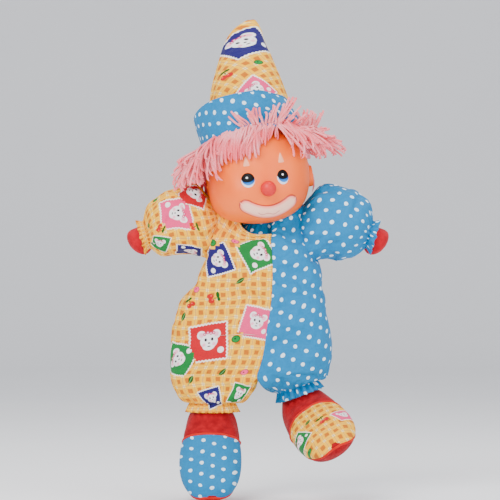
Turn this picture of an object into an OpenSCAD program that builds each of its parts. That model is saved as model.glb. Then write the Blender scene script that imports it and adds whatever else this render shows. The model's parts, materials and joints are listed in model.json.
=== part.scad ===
// Clown hand puppet with a hollow head, puffed sleeves and stuffed hanging legs.
// +Z is up, the face looks along -Y and the puppet's own right side is on -X.
// The origin is the centre of the hand opening, on the back of the suit.

/* [Suit] */
// Depth of the body's middle plane in front of the hand opening
body_depth = 44; // [43:0.5:46]
// Thickness of the cloth pieces
cloth = 1.2; // [1:0.1:1.6]
// Width of the hand opening between its panels
opening_w = 84; // [78:1:86]
// Height of the hand opening between its panels
opening_h = 52; // [48:1:52]
// Thickness of the rolled hem round the hand opening
hem_d = 4; // [3:0.5:4.5]
// Height of the middle of the armholes
armhole_z = 66; // [65:0.5:67]

/* [Arms] */
// Distance of each shoulder's turning point from the middle of the suit
shoulder_x = 72; // [71.5:0.5:75]
// Height of the shoulders' turning points
shoulder_z = 71; // [69:0.5:73]
// How far the arms hang below level, in degrees
arm_droop = 16; // [10:1:20]
// Distance of the wrist's turning point from the shoulder's
wrist_s = 30; // [29.5:0.5:31]

/* [Legs] */
// Height of the hips' turning line
hip_z = -58; // [-60:0.5:-58]
// Room between the two legs
leg_gap = 1.2; // [0.8:0.2:3]
// How far the left foot is splayed outwards, in degrees
splay = 32; // [24:1:34]
// How far the left foot points further forward than the right, in degrees
left_pitch = 28; // [20:1:30]

/* [Head] */
// Height of the neck's turning point
neck_z = 72; // [72:0.5:74]
// Distance of the neck from the hand opening's middle, to the puppet's left
neck_x = 5; // [4:0.5:6]
// How far the head leans to the puppet's right, in degrees
lean = 6.5; // [0:0.5:8]
// How far the face is turned to the puppet's left, in degrees
turn = 7; // [0:0.5:9]
// Thickness of the vinyl head
vinyl = 2; // [1.6:0.1:2]
// Radius of the bore of the finger tube
finger_r = 9.5; // [9:0.1:9.6]
// Thickness of the finger tube
finger_wall = 1.3; // [1:0.1:1.4]
// Length of the finger tube
finger_l = 36; // [30:1:40]
// Radius of the nose ball
nose_r = 7; // [6:0.2:7.6]

/* [Hidden] */

around = 24;            // points round a closed cross-section
quarter = 8;            // steps round a quarter of the suit
exact = 48;             // $fn of true round pieces
padding_gap = 0.5;      // room between a cover and the padding in it
brim_wall = 2.4;        // the brim is a doubled band
hair_wall = 2;
elastic_r = 1;
crotch_x = -2.5;        // where the legs part
armhole_h = 12;         // half height of an armhole
armhole_d = 11;         // half depth of an armhole

// Suit rows: height, seam, right half width, left half width, half depth, lift of the sides
suit = [
    [-28, 5, 74, 50, body_depth - 10, 0],
    [-24, 6, 81, 56, body_depth - 5, 0],
    [-16, 8, 85, 55, body_depth - 1.5, 0],
    [-6, 10, 86, 47, body_depth - 0.2, 0],
    [6, 11.5, 81, 44, body_depth - 0.2, 0],
    [16, 12, 75, 43, body_depth - 2, 0],
    [26, 12.5, 68, 41.5, body_depth - 4.5, 0],
    [36, 12.5, 61, 38, body_depth - 7, 0],
    [46, 12.5, 58, 33, body_depth - 9, 0],
    [53, 12, 57.5, 33.5, body_depth - 10.5, 0],
    [56.5, 11.5, 57, 34, body_depth - 12.5, 4],
    [59.5, 11, 56, 34.5, body_depth - 15.5, 9],
    [62, 10, 55, 35.5, body_depth - 18.5, 15],
    [63.5, 9, 50, 32, body_depth - 20.5, 13],
    [65, 7, 36, 26, body_depth - 22.5, 0],
    [66, 5, 20, 20, body_depth - 24, 0]
];

// Head rows about the neck: back point, front point (y, z) and half width
head = [
    [[13.4, -8], [-13.4, -8], 13.4],
    [[13.4, 6], [-13.4, 1], 13.4],
    [[18, 10], [-28, 1], 22],
    [[25, 18], [-44, 7], 34],
    [[29, 30], [-53, 20], 41],
    [[30, 44], [-55, 38], 43],
    [[28, 58], [-53, 56], 41.5],
    [[22, 72], [-46, 72], 35],
    [[10, 82], [-32, 83], 22],
    [[-6, 86.5], [-16, 87], 5]
];

// Cross-sections -------------------------------------------------------------
// A row is an oval: its centre, its two half axes and how far its sides lift.
function level(x, y, z, w, d, lift = 0) = [[x, y, z], [w, 0, 0], [0, d, 0], lift];
function pitched(x, y, z, w, d, pitch) =
    [[x, y, z], [w, 0, 0], [0, d * cos(pitch), -d * sin(pitch)], 0];
function rolled(x, y, z, w, d, roll) =
    [[x, y, z], [w * cos(roll), 0, w * sin(roll)], [0, d, 0], 0];
function between(back, front, w) = [
    [0, (back[0] + front[0]) / 2, (back[1] + front[1]) / 2],
    [w, 0, 0],
    [0, (back[0] - front[0]) / 2, (back[1] - front[1]) / 2],
    0
];
function inset(v, t) = v * max(norm(v) - t, 0.4) / norm(v);
function at(row, a, t = 0) =
    row[0] + inset(row[1], t) * cos(a) + inset(row[2], t) * sin(a)
    + [0, 0, row[3] * pow(cos(a), 2)];
function ring(row, t = 0, n = around) = [for (i = [0:n - 1]) at(row, 360 * i / n, t)];
function arc(row, from, to, n, t = 0) =
    [for (i = [0:n]) at(row, from + (to - from) * i / n, t)];
function joined(lists) = [for (l = lists) each l];
function last(list) = list[len(list) - 1];

// The row just inside the closed end of a cup, a wall's thickness down
function lowered(row, before, t) =
    [row[0] + (before[0] - row[0]) * t / max(norm(before[0] - row[0]), t),
     row[1], row[2], row[3]];
function inner_rows(rows, t) = [
    for (i = [0:len(rows) - 1])
        i < len(rows) - 1 ? rows[i] : lowered(rows[i], rows[i - 1], t)
];

// Triangles between the rows of a grid of points
function web(rows, cols, closed, base, out) = [
    for (r = [0:rows - 2], c = [0:cols - (closed ? 1 : 2)])
        let (
            a = base + r * cols + c,
            b = base + r * cols + (c + 1) % cols,
            e = a + cols,
            f = b + cols
        )
        each out ? [[a, f, b], [a, e, f]] : [[a, b, f], [a, f, e]]
];
// Triangles between two lists of points that run side by side
function strip(p, q) = [
    for (i = [0:len(p) - 2]) each [[p[i], p[i + 1], q[i + 1]], [p[i], q[i + 1], q[i]]]
];
function counted(first, step, n) = [for (i = [0:n - 1]) first + i * step];
function backwards(list) = [for (i = [len(list) - 1:-1:0]) list[i]];
function looped(list) = concat(list, [list[0]]);

// Solid through the rows, closed at both ends
module loft(rows, t = 0, n = around) {
    m = len(rows);
    polyhedron(
        joined([for (r = rows) ring(r, t, n)]),
        concat(
            web(m, n, true, 0, true),
            [counted(0, 1, n), backwards(counted((m - 1) * n, 1, n))]
        )
    );
}

// Wall of thickness t inside the rows, open at the first row and closed at the last
module cup(rows, t, n = around) {
    m = len(rows);
    inside = m * n;
    start = counted(0, 1, n);
    start_in = counted(inside, 1, n);
    polyhedron(
        concat(
            joined([for (r = rows) ring(r, 0, n)]),
            joined([for (r = inner_rows(rows, t)) ring(r, t, n)])
        ),
        concat(
            web(m, n, true, 0, true),
            web(m, n, true, inside, false),
            strip(looped(start), looped(start_in)),
            [backwards(counted((m - 1) * n, 1, n)), counted(inside + (m - 1) * n, 1, n)]
        )
    );
}

// Wall of thickness t inside the rows, open at both ends
module tube(rows, t, n = around) {
    m = len(rows);
    inside = m * n;
    polyhedron(
        concat(
            joined([for (r = rows) ring(r, 0, n)]),
            joined([for (r = rows) ring(r, t, n)])
        ),
        concat(
            web(m, n, true, 0, true),
            web(m, n, true, inside, false),
            strip(looped(counted(0, 1, n)), looped(counted(inside, 1, n))),
            strip(
                backwards(looped(counted((m - 1) * n, 1, n))),
                backwards(looped(counted(inside + (m - 1) * n, 1, n)))
            )
        )
    );
}

// Part of a wall, between the angles that two lists give for each row
module panel(rows, from, to, t, n = quarter) {
    m = len(rows);
    cols = n + 1;
    inside = m * cols;
    polyhedron(
        concat(
            joined([for (i = [0:m - 1]) arc(rows[i], from[i], to[i], n)]),
            joined([for (i = [0:m - 1]) arc(rows[i], from[i], to[i], n, t)])
        ),
        concat(
            web(m, cols, false, 0, true),
            web(m, cols, false, inside, false),
            strip(counted(0, 1, cols), counted(inside, 1, cols)),
            strip(
                backwards(counted((m - 1) * cols, 1, cols)),
                backwards(counted(inside + (m - 1) * cols, 1, cols))
            ),
            strip(backwards(counted(0, cols, m)), backwards(counted(inside, cols, m))),
            strip(counted(n, cols, m), counted(inside + n, cols, m))
        )
    );
}

// True round ring of elastic or cord
module band(radius, thick) {
    rotate_extrude($fn = exact)
        translate([radius, 0])
            circle(r = thick, $fn = exact / 2);
}

// Suit ----------------------------------------------------------------------
function suit_rows(column) = [
    for (s = suit) level(s[1], -body_depth, s[0], s[column], s[4], s[5])
];
// Half width of the hand opening at a height
function gap_at(z) =
    abs(z) < opening_h / 2 ? opening_w / 2 * sqrt(1 - pow(2 * z / opening_h, 2)) : 0;
// Angle of the armhole's edge above the side of a row
function arm_angle(s) =
    let (up = (s[0] + s[5] - armhole_z) / armhole_h)
    abs(up) < 1 ? asin(armhole_d * sqrt(1 - up * up) / s[4]) : 0;
function back_edge_right(s) =
    let (g = gap_at(s[0])) g > 0 ? acos(-(s[1] + g) / s[2]) : 90;
function back_edge_left(s) =
    let (g = gap_at(s[0])) g > s[1] ? acos((g - s[1]) / s[3]) : 90;

module torso_front_right() {
    color("gold")
        panel(suit_rows(2), [for (s = suit) 180 + arm_angle(s)], [for (s = suit) 270], cloth);
}

module torso_back_right() {
    color("goldenrod")
        panel(
            suit_rows(2), [for (s = suit) back_edge_right(s)],
            [for (s = suit) 180 - arm_angle(s)], cloth
        );
}

module torso_front_left() {
    color("deepskyblue")
        panel(suit_rows(3), [for (s = suit) 270], [for (s = suit) 360 - arm_angle(s)], cloth);
}

module torso_back_left() {
    color("dodgerblue")
        panel(
            suit_rows(3), [for (s = suit) arm_angle(s)],
            [for (s = suit) back_edge_left(s)], cloth
        );
}

// Depth of the back of the suit at a place
function back_y(x, z) =
    let (
        seam = lookup(z, [for (s = suit) [s[0], s[1]]]),
        w = lookup(z, [for (s = suit) [s[0], x < seam ? s[2] : s[3]]]),
        d = lookup(z, [for (s = suit) [s[0], s[4]]])
    )
    -body_depth + d * sqrt(max(0, 1 - pow((x - seam) / w, 2)));

module opening_hem() {
    steps = 40;
    sides = 8;
    half_w = opening_w / 2 - hem_d * 0.65;
    half_h = opening_h / 2 - hem_d * 0.65;
    way = [
        for (i = [0:steps - 1])
            let (x = half_w * cos(360 * i / steps), z = half_h * sin(360 * i / steps))
            [x, back_y(x, z) - cloth / 2, z]
    ];
    points = [
        for (i = [0:steps - 1])
            let (
                a = 360 * i / steps,
                out = [cos(a), 0, sin(a)]
            )
            [for (k = [0:sides - 1])
                way[i] + hem_d / 2 * (out * cos(360 * k / sides)
                    + [0, 1, 0] * sin(360 * k / sides))]
    ];
    color("mediumblue")
        polyhedron(
            joined(concat(points, [points[0]])),
            web(steps + 1, sides, true, 0, false)
        );
}

module seat_panel() {
    s = suit[0];
    rows = [
        for (z = [s[0] + 0.2, s[0] + 0.2 + cloth])
            level(s[1] - 12, -body_depth, z, s[3] + 8, s[4] - 6)
    ];
    color("khaki") loft(rows);
}

module collar() {
    color("gold")
        translate([neck_x, -body_depth, last(suit)[0] - 0.3]) band(22.4, 1.3);
}

// Head ----------------------------------------------------------------------
module on_neck() {
    translate([neck_x, -body_depth, neck_z])
        rotate([0, -lean, 0])
            children();
}

module on_head() {
    on_neck() rotate([0, 0, turn]) children();
}

head_rows = [for (h = head) between(h[0], h[1], h[2])];
// The face's surface in front of a place
function face_y(x, z) =
    let (
        front = lookup(z, [for (h = head) [h[1][1], h[1][0]]]),
        back = lookup(z, [for (h = head) [h[1][1], h[0][0]]]),
        w = lookup(z, [for (h = head) [h[1][1], h[2]]]),
        middle = (front + back) / 2
    )
    middle + (front - middle) * sqrt(max(0, 1 - pow(x / w, 2)));

module neck_sleeve() {
    color("gold")
        on_neck() tube([for (z = [-6, -2.5, 0.5]) level(0, 0, z, 15.6, 15.6)], cloth);
}

module neck_cord() {
    color("white") on_neck() translate([0, 0, -2.5]) band(16.9, elastic_r);
}

module head_shell() {
    ear_z = 37;
    color("sandybrown")
        on_head() {
            cup(head_rows, vinyl, 32);
            for (side = [-1, 1])
                loft([
                    for (k = [-3:3])
                        let (r = sqrt(1 - pow(k / 3.2, 2)))
                        level(side * 43, -8, ear_z + 3 * k, 5 * r, 6.5 * r)
                ], 0, 12);
        }
}

module finger_tube() {
    color("navajowhite")
        on_head()
            translate([0, 0, -8])
                difference() {
                    cylinder(h = finger_l, r = finger_r + finger_wall, $fn = exact);
                    translate([0, 0, -1])
                        cylinder(h = finger_l + 2, r = finger_r, $fn = exact);
                }
}

module nose() {
    nose_z = 30.5;
    color("orangered")
        on_head()
            translate([0, face_y(0, nose_z) - nose_r * 0.55, nose_z])
                sphere(r = nose_r, $fn = exact);
}

// A domed eye, an upright oval
module eye(side) {
    eye_x = 16.2;
    eye_z = 40.5;
    color("black")
        on_head()
            translate([side * eye_x, face_y(eye_x, eye_z) + 0.8, eye_z])
                rotate([0, 0, side * 20])
                    intersection() {
                        rotate([90, 0, 0]) cylinder(h = 3, r1 = 6.8, r2 = 4.6, $fn = exact);
                        translate([-5.8, -4, -8]) cube([11.6, 6, 16]);
                    }
}

module eye_right() {
    eye(-1);
}

module eye_left() {
    eye(1);
}

module mouth() {
    half = 25;
    step = 2.5;
    // Middle line of the smile and half its height
    function smile_z(x) = 9.5 + 7 * pow(x / half, 2);
    function smile_h(x) = 6 * sqrt(max(0.02, 1 - pow(x / (half + 1), 4)));
    rows = [
        for (x = [-half:step:half])
            let (z = smile_z(x), h = smile_h(x), top = face_y(x, z + h), low = face_y(x, z - h))
            [[x, (top + low) / 2, z], [0, -1.6, 0], [0, (low - top) / 2, -h], 0]
    ];
    color("mistyrose") on_head() loft(rows, 0, 12);
}

// Hat -----------------------------------------------------------------------
hat_pitch = 21;
// Hat rows: sideways shift, height, half width, half depth
hat = [
    [-0.5, 69, 43.2, 42.4], [-1, 78, 40, 39], [-1.5, 92, 37, 35], [-1, 112, 33, 29],
    [-0.5, 134, 28, 22.5], [0.5, 150, 23, 17.5], [2.5, 163, 17, 13],
    [5.5, 173, 10.5, 8.5], [8.5, 179, 4, 4]
];
function hat_y(z) = -10 + (z - 69) * 0.34;
function hat_row(h, shrink = 0) =
    pitched(h[0], hat_y(h[1]), h[1], h[2] - shrink, h[3] - shrink, hat_pitch);

module hat_cone() {
    color("gold") on_head() cup([for (h = hat) hat_row(h)], cloth, 28);
}

module hat_brim() {
    rows = [[-0.5, 69, 46.2, 45.4], [-0.5, 82, 48, 46.5], [-0.5, 96, 50, 48]];
    color("deepskyblue") on_head() tube([for (h = rows) hat_row(h)], brim_wall, 28);
}

module hat_stuffing() {
    inside = cloth + 2;
    color("whitesmoke")
        on_head()
            loft([for (i = [4:len(hat) - 2]) hat_row(hat[i], inside)]);
}

// Hair ----------------------------------------------------------------------
module hair_fringe() {
    rows = [
        level(0, -12.5, 52, 46.4, 45.6),
        level(0, -12.5, 63, 45, 45),
        level(0, -11.5, 73, 41.6, 41.4)
    ];
    color("lightpink")
        on_head()
            panel(rows, [for (r = rows) 218], [for (r = rows) 322], hair_wall, 14);
}

module hair_back() {
    back_pitch = 20;
    behind_ears = 14;       // angle back from the head's side
    rows = [
        pitched(0, -11, 31, 46, 46, back_pitch),
        pitched(0, -11, 45, 47, 47, back_pitch),
        pitched(0, -11, 57, 46.4, 46, back_pitch)
    ];
    color("pink")
        on_head()
            panel(rows, [for (r = rows) behind_ears], [for (r = rows) 180 - behind_ears], hair_wall, 24);
}

// A bunch over an ear; out is how far its widest part stands from the head
module bunch(side, rows) {
    color("lightpink")
        on_head()
            loft([for (r = rows) level(side * r[0], -16, r[1], r[2], r[3])], 0, 16);
}

module hair_right() {
    bunch(-1, [
        [57, 42, 4, 8], [58, 47, 8, 13], [57, 54, 8.5, 15], [54, 60, 6.5, 14], [50.5, 65, 3, 9]
    ]);
}

module hair_left() {
    bunch(1, [
        [58, 32, 4, 7], [60, 38, 8, 12], [62, 46, 12, 16], [61, 54, 12, 17],
        [56, 61, 8, 14], [51, 65.5, 3.5, 9]
    ]);
}

// Arms ----------------------------------------------------------------------
// Arm rows: distance from the shoulder, rise, half height, half depth
arm = [
    [-23, 0, 10.5, 9.5], [-19, 0, 16.2, 15], [-12.5, 1, 21.6, 20], [-4, 2, 25.5, 24],
    [4.5, 3, 28.5, 26], [12, 2, 27, 24], [18, 0.5, 21.5, 19], [22, -1, 14, 13.5],
    [25, -1.5, 11.2, 11.2], [28, -1.5, 14, 14], [32, -2, 19, 18.5]
];
wrist_rise = -1.5;

// Children are built along +Z, with +X upwards, and laid along the arm
module on_arm(side) {
    mirror([side > 0 ? 1 : 0, 0, 0])
        translate([-shoulder_x, -body_depth, shoulder_z])
            rotate([0, -90 - arm_droop, 0])
                children();
}

// Hands bend down and back from the arm's line
module on_wrist(side) {
    on_arm(side)
        translate([wrist_rise, 0, wrist_s])
            rotate([-28, -25, 0])
                children();
}

module sleeve(side) {
    on_arm(side) tube([for (a = arm) level(a[1], 0, a[0], a[2], a[3])], cloth);
}

module sleeve_right() {
    color("gold") sleeve(-1);
}

module sleeve_left() {
    color("deepskyblue") sleeve(1);
}

module wrist_elastic(side) {
    color("white") on_arm(side) translate([wrist_rise, 0, 25]) band(13.4, elastic_r);
}

module wrist_elastic_right() {
    wrist_elastic(-1);
}

module wrist_elastic_left() {
    wrist_elastic(1);
}

// Mitten rows: distance from the wrist, half height, half depth
mitt = [
    [-7.4, 5.6, 5.6], [-4.5, 7.6, 7.6], [0, 8.8, 8.8], [4, 9.6, 9.4],
    [9, 12.2, 10.8], [13.5, 12.6, 10.6], [17, 8.8, 7.4], [19, 3.6, 3]
];

module mitten(side) {
    color("crimson") on_wrist(side) cup([for (m = mitt) level(0, 0, m[0], m[1], m[2])], cloth, 20);
}

module mitten_right() {
    mitten(-1);
}

module mitten_left() {
    mitten(1);
}

module hand_stuffing(side) {
    inside = cloth + padding_gap;
    color("whitesmoke")
        on_wrist(side)
            loft([
                for (i = [1:len(mitt) - 3]) level(0, 0, mitt[i][0], mitt[i][1], mitt[i][2])
            ], inside, 16);
}

module hand_stuffing_right() {
    hand_stuffing(-1);
}

module hand_stuffing_left() {
    hand_stuffing(1);
}

// Legs ----------------------------------------------------------------------
leg_right_x = crotch_x - leg_gap / 2 - 37;
leg_left_x = crotch_x + leg_gap / 2 + 33;
hem_roll = 20;
// Leg rows: sideways shift, height above the hips, half width, half depth, roll
leg_right = [
    [-1, -32, 22.5, 21.5, 0], [-1, -28, 27, 26, 0], [-1, -21, 32, 31, 0],
    [-0.5, -12, 35.5, 34, 0], [0, 0, 37, 30.5, 0], [0, 12, 34, 25.8, 0],
    [0, 20.5, 26, 19.6, 0], [0, 26.5, 13, 10, 0]
];
leg_left = [
    [6, -23.5, 20.5, 20.5, hem_roll], [5, -20, 24.5, 25, 17], [3.4, -14.5, 28.5, 30, 12],
    [1.2, -8, 31.2, 32.5, 6], [0, 0, 33, 30.5, 0], [0, 12, 30.5, 25.8, 0],
    [0, 20.5, 23, 19.6, 0], [0, 26.5, 12, 10, 0]
];
function leg_rows(leg, x) =
    [for (r = leg) rolled(x + r[0], -body_depth, hip_z + r[1], r[2], r[3], r[4])];

module trouser_right() {
    color("gold") cup(leg_rows(leg_right, leg_right_x), cloth, 28);
}

module trouser_left() {
    color("deepskyblue") cup(leg_rows(leg_left, leg_left_x), cloth, 28);
}

// Padding stops short of the foot's ball
module leg_stuffing(rows, first) {
    color("whitesmoke")
        loft([for (i = [first:len(rows) - 2]) rows[i]], cloth + padding_gap, 20);
}

module leg_stuffing_right() {
    leg_stuffing(leg_rows(leg_right, leg_right_x), 2);
}

module leg_stuffing_left() {
    leg_stuffing(leg_rows(leg_left, leg_left_x), 2);
}

// The gathered end of a leg: the middle of its elastic, with +Z up the leg
module at_hem(side) {
    leg = side > 0 ? leg_left[0] : leg_right[0];
    x = side > 0 ? leg_left_x : leg_right_x;
    translate([x + leg[0], -body_depth, hip_z + leg[1]])
        rotate([0, -leg[4], 0])
            children();
}

module ankle_elastic(side) {
    color("white") at_hem(side) translate([0, 0, -1.4]) band(side > 0 ? 22.6 : 24.6, elastic_r);
}

module ankle_elastic_right() {
    ankle_elastic(-1);
}

module ankle_elastic_left() {
    ankle_elastic(1);
}

module frill(side) {
    top = side > 0 ? 20.5 : 22.5;
    flare = side > 0 ? 6.2 : 3.5;
    at_hem(side)
        tube([
            level(0, 0, -8, top + flare, top + flare),
            level(0, 0, -4.5, top + 0.4 * flare, top + 0.4 * flare),
            level(0, 0, -0.4, top, top)
        ], cloth, 28);
}

module frill_right() {
    color("gold") frill(-1);
}

module frill_left() {
    color("deepskyblue") frill(1);
}

// Feet ----------------------------------------------------------------------
ankle_drop = 9;
// Foot rows about the ankle: forward, height, pitch, half width, half thickness
foot = [
    [-43.5, -69, 52, 2, 1.2], [-41, -66.5, 52, 11, 6.5], [-36, -62, 50, 19, 12],
    [-27.5, -53.5, 46, 24.8, 17], [-17, -42, 40, 26.5, 19.6],
    [-7.5, -28, 28, 25, 20.5], [-2, -14, 10, 22, 19.2], [0, -4, 0, 18.8, 18],
    [0, 2, 0, 18, 18], [0, 8, 0, 16.3, 16.3], [0, 13, 0, 12.8, 12.8], [0, 15.8, 0, 7.4, 7.4]
];
cap_rows = 4;           // the toe cap and the sole run from the toe to this row
sole_from = 25;         // the sole spans these angles round the foot, from its own left
sole_to = 155;
foot_rows = [for (f = foot) pitched(0, f[0], f[1], f[3], f[4], f[2])];
toe_rows = [for (i = [0:cap_rows]) foot_rows[i]];

module on_ankle(side) {
    at_hem(side)
        translate([0, 0, -ankle_drop])
            rotate([side > 0 ? -left_pitch : 0, side > 0 ? hem_roll - splay : 0, 0])
                children();
}

module sock(side) {
    color("crimson")
        on_ankle(side) cup([for (i = [cap_rows:len(foot) - 1]) foot_rows[i]], cloth);
}

module sock_right() {
    sock(-1);
}

module sock_left() {
    sock(1);
}

module toe_cap(side) {
    on_ankle(side)
        panel(
            toe_rows, [for (r = toe_rows) sole_to + 1], [for (r = toe_rows) 360 + sole_from - 1],
            cloth, 18
        );
}

module toe_cap_right() {
    color("deepskyblue") toe_cap(-1);
}

module toe_cap_left() {
    color("gold") toe_cap(1);
}

module sole(side) {
    color("crimson")
        on_ankle(side)
            panel(toe_rows, [for (r = toe_rows) sole_from], [for (r = toe_rows) sole_to], cloth, 10);
}

module sole_right() {
    sole(-1);
}

module sole_left() {
    sole(1);
}

module foot_stuffing(side) {
    color("whitesmoke")
        on_ankle(side)
            loft([for (i = [1:len(foot) - 2]) foot_rows[i]], cloth + padding_gap, 20);
}

module foot_stuffing_right() {
    foot_stuffing(-1);
}

module foot_stuffing_left() {
    foot_stuffing(1);
}

torso_front_right();
torso_back_right();
torso_front_left();
torso_back_left();
opening_hem();
seat_panel();
collar();
neck_sleeve();
neck_cord();
head_shell();
finger_tube();
nose();
eye_right();
eye_left();
mouth();
hat_cone();
hat_brim();
hat_stuffing();
hair_fringe();
hair_right();
hair_left();
hair_back();
sleeve_right();
sleeve_left();
wrist_elastic_right();
wrist_elastic_left();
mitten_right();
mitten_left();
hand_stuffing_right();
hand_stuffing_left();
trouser_right();
trouser_left();
leg_stuffing_right();
leg_stuffing_left();
ankle_elastic_right();
ankle_elastic_left();
frill_right();
frill_left();
sock_right();
sock_left();
toe_cap_right();
toe_cap_left();
sole_right();
sole_left();
foot_stuffing_right();
foot_stuffing_left();
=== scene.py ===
"""A clown hand puppet: printed cotton suit, vinyl head, yarn hair and stuffed red feet.

Lengths here are millimetres in the part's own frame: +Z up, the face looks along -Y and the
puppet's own left side is +X. Meshes are written in metres.
"""
import json
import math

import bpy
import numpy as np
from mathutils import Matrix, Vector
from mathutils.bvhtree import BVHTree


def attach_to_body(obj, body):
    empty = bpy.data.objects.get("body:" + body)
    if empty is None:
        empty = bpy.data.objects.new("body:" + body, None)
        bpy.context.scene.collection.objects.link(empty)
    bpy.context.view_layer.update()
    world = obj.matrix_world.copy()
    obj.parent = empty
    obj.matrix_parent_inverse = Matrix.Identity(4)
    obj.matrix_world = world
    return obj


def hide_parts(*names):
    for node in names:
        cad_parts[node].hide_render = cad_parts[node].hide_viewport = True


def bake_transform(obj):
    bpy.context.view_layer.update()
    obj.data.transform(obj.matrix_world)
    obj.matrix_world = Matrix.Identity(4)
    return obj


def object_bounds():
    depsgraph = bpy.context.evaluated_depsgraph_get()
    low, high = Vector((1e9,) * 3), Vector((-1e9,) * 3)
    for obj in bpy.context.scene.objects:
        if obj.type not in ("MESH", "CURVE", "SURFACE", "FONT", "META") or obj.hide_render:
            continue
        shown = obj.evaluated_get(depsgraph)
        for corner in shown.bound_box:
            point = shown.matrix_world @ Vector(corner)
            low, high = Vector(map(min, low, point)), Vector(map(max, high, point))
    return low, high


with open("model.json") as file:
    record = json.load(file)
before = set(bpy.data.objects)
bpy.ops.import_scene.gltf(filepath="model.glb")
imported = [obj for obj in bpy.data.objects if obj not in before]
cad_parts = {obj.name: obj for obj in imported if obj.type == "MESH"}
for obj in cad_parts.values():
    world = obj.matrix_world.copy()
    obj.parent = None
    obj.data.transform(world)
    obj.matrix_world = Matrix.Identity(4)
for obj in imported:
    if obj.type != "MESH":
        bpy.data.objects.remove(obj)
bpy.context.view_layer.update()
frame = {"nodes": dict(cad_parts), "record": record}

MM = 0.001
TAU = 2 * math.pi
SIDES = {-1: "right", 1: "left"}     # the puppet's own sides, by the sign of x


# ---------------------------------------------------------------- numbers
def joint(name):
    return next(j for j in frame["record"]["behaviour"]["joints"] if j["name"] == name)


def place(name):
    """A joint's turning point in millimetres."""
    return np.array(joint(name)["pos_m"]) / MM


NECK = place("neck_nod")
BODY_Y = NECK[1]
LEAN = math.atan2(-joint("head_turn")["axis"][0], joint("head_turn")["axis"][2])
TURN = math.radians(7)
DROOP = math.radians(16)
LEFT_PITCH = math.radians(28)
LEFT_SPLAY = math.radians(32)
HEM_ROLL = math.radians(20)


def smooth(a, b, x):
    t = np.clip((np.asarray(x, float) - a) / (b - a), 0, 1)
    return t * t * (3 - 2 * t)


def spline(keys, values, x):
    """Smooth monotone-ish interpolation of a few listed values (Catmull-Rom)."""
    keys, values = np.asarray(keys, float), np.asarray(values, float)
    slope = np.gradient(values, keys, axis=0)
    x = np.clip(np.atleast_1d(np.asarray(x, float)), keys[0], keys[-1])
    i = np.clip(np.searchsorted(keys, x, side="right") - 1, 0, len(keys) - 2)
    h = keys[i + 1] - keys[i]
    t = (x - keys[i]) / h
    if values.ndim > 1:
        t, h = t[:, None], h[:, None]
    return (
        values[i] * (1 + 2 * t) * (1 - t) ** 2
        + h * slope[i] * t * (1 - t) ** 2
        + values[i + 1] * t * t * (3 - 2 * t)
        + h * slope[i + 1] * t * t * (t - 1)
    )


def wander(x, y, seed, octaves=3):
    """Smooth pseudo-random field of two arrays, about -1 to 1."""
    r = np.random.default_rng(seed)
    out = 0.0
    for k in range(octaves):
        for _ in range(4):
            a, p = r.uniform(0, TAU, 2)
            f = 2.0**k * r.uniform(0.7, 1.3)
            out = out + np.sin(f * (x * math.cos(a) + y * math.sin(a)) + p) / (4 * 1.6**k)
    return out * 1.6


# ---------------------------------------------------------------- meshes
def new_mesh(name, points, faces, uvs=None, extra=None):
    """An object from points in millimetres, with a UV pair for each face corner."""
    mesh = bpy.data.meshes.new(name)
    mesh.from_pydata((np.asarray(points) * MM).tolist(), [], [list(f) for f in faces])
    for label, values in (("print", uvs), *(extra or {}).items()):
        if values is not None:
            layer = mesh.uv_layers.new(name=label)
            layer.data.foreach_set("uv", np.asarray(values, np.float32).ravel())
    mesh.shade_smooth()
    obj = bpy.data.objects.new(name, mesh)
    bpy.context.scene.collection.objects.link(obj)
    return obj


def subdivide(obj, levels=1):
    m = obj.modifiers.new("smooth", "SUBSURF")
    m.levels = m.render_levels = levels
    m.uv_smooth = "NONE"


def thicken(obj, mm, offset=-1):
    m = obj.modifiers.new("cloth", "SOLIDIFY")
    m.thickness = mm * MM
    m.offset = offset


def dress(obj, material):
    obj.data.materials.append(material)
    return obj


def grid(name, pts, uv=None, wrap=False, flip=False, keep=None, pin=None, ends=(False, False)):
    """Mesh over rows of points. A wrapped grid has one more column of UVs than of points.

    keep(row, column) says which cells are there; pin gives each point's weight in the "pin" group.
    """
    pts = np.asarray(pts, float)
    rows, cols = pts.shape[:2]
    faces, corner = [], []
    for r in range(rows - 1):
        for c in range(cols if wrap else cols - 1):
            if keep and not keep(r, c):
                continue
            d = (c + 1) % cols
            quad = [(r * cols + c, (r, c)), (r * cols + d, (r, c + 1)),
                    ((r + 1) * cols + d, (r + 1, c + 1)), ((r + 1) * cols + c, (r + 1, c))]
            quad = quad[::-1] if flip else quad
            faces.append([q[0] for q in quad])
            corner.append([q[1] for q in quad])
    for end, r in zip(ends, (0, rows - 1)):
        if end:
            order = [(r * cols + c, (r, c)) for c in range(cols)]
            order = order[::-1] if (r == 0) != flip else order
            faces.append([q[0] for q in order])
            corner.append([q[1] for q in order])
    used = np.unique(np.concatenate([np.array(f) for f in faces]))
    number = np.full(rows * cols, -1)
    number[used] = np.arange(len(used))
    uvs = None if uv is None else [uv[r][c] for f in corner for r, c in f]
    obj = new_mesh(name, pts.reshape(-1, 3)[used], [number[f].tolist() for f in faces], uvs)
    if pin is not None:
        group = obj.vertex_groups.new(name="pin")
        for i, w in enumerate(np.asarray(pin, float).ravel()[used]):
            if w > 0:
                group.add([i], float(w), "REPLACE")
    return obj


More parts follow.
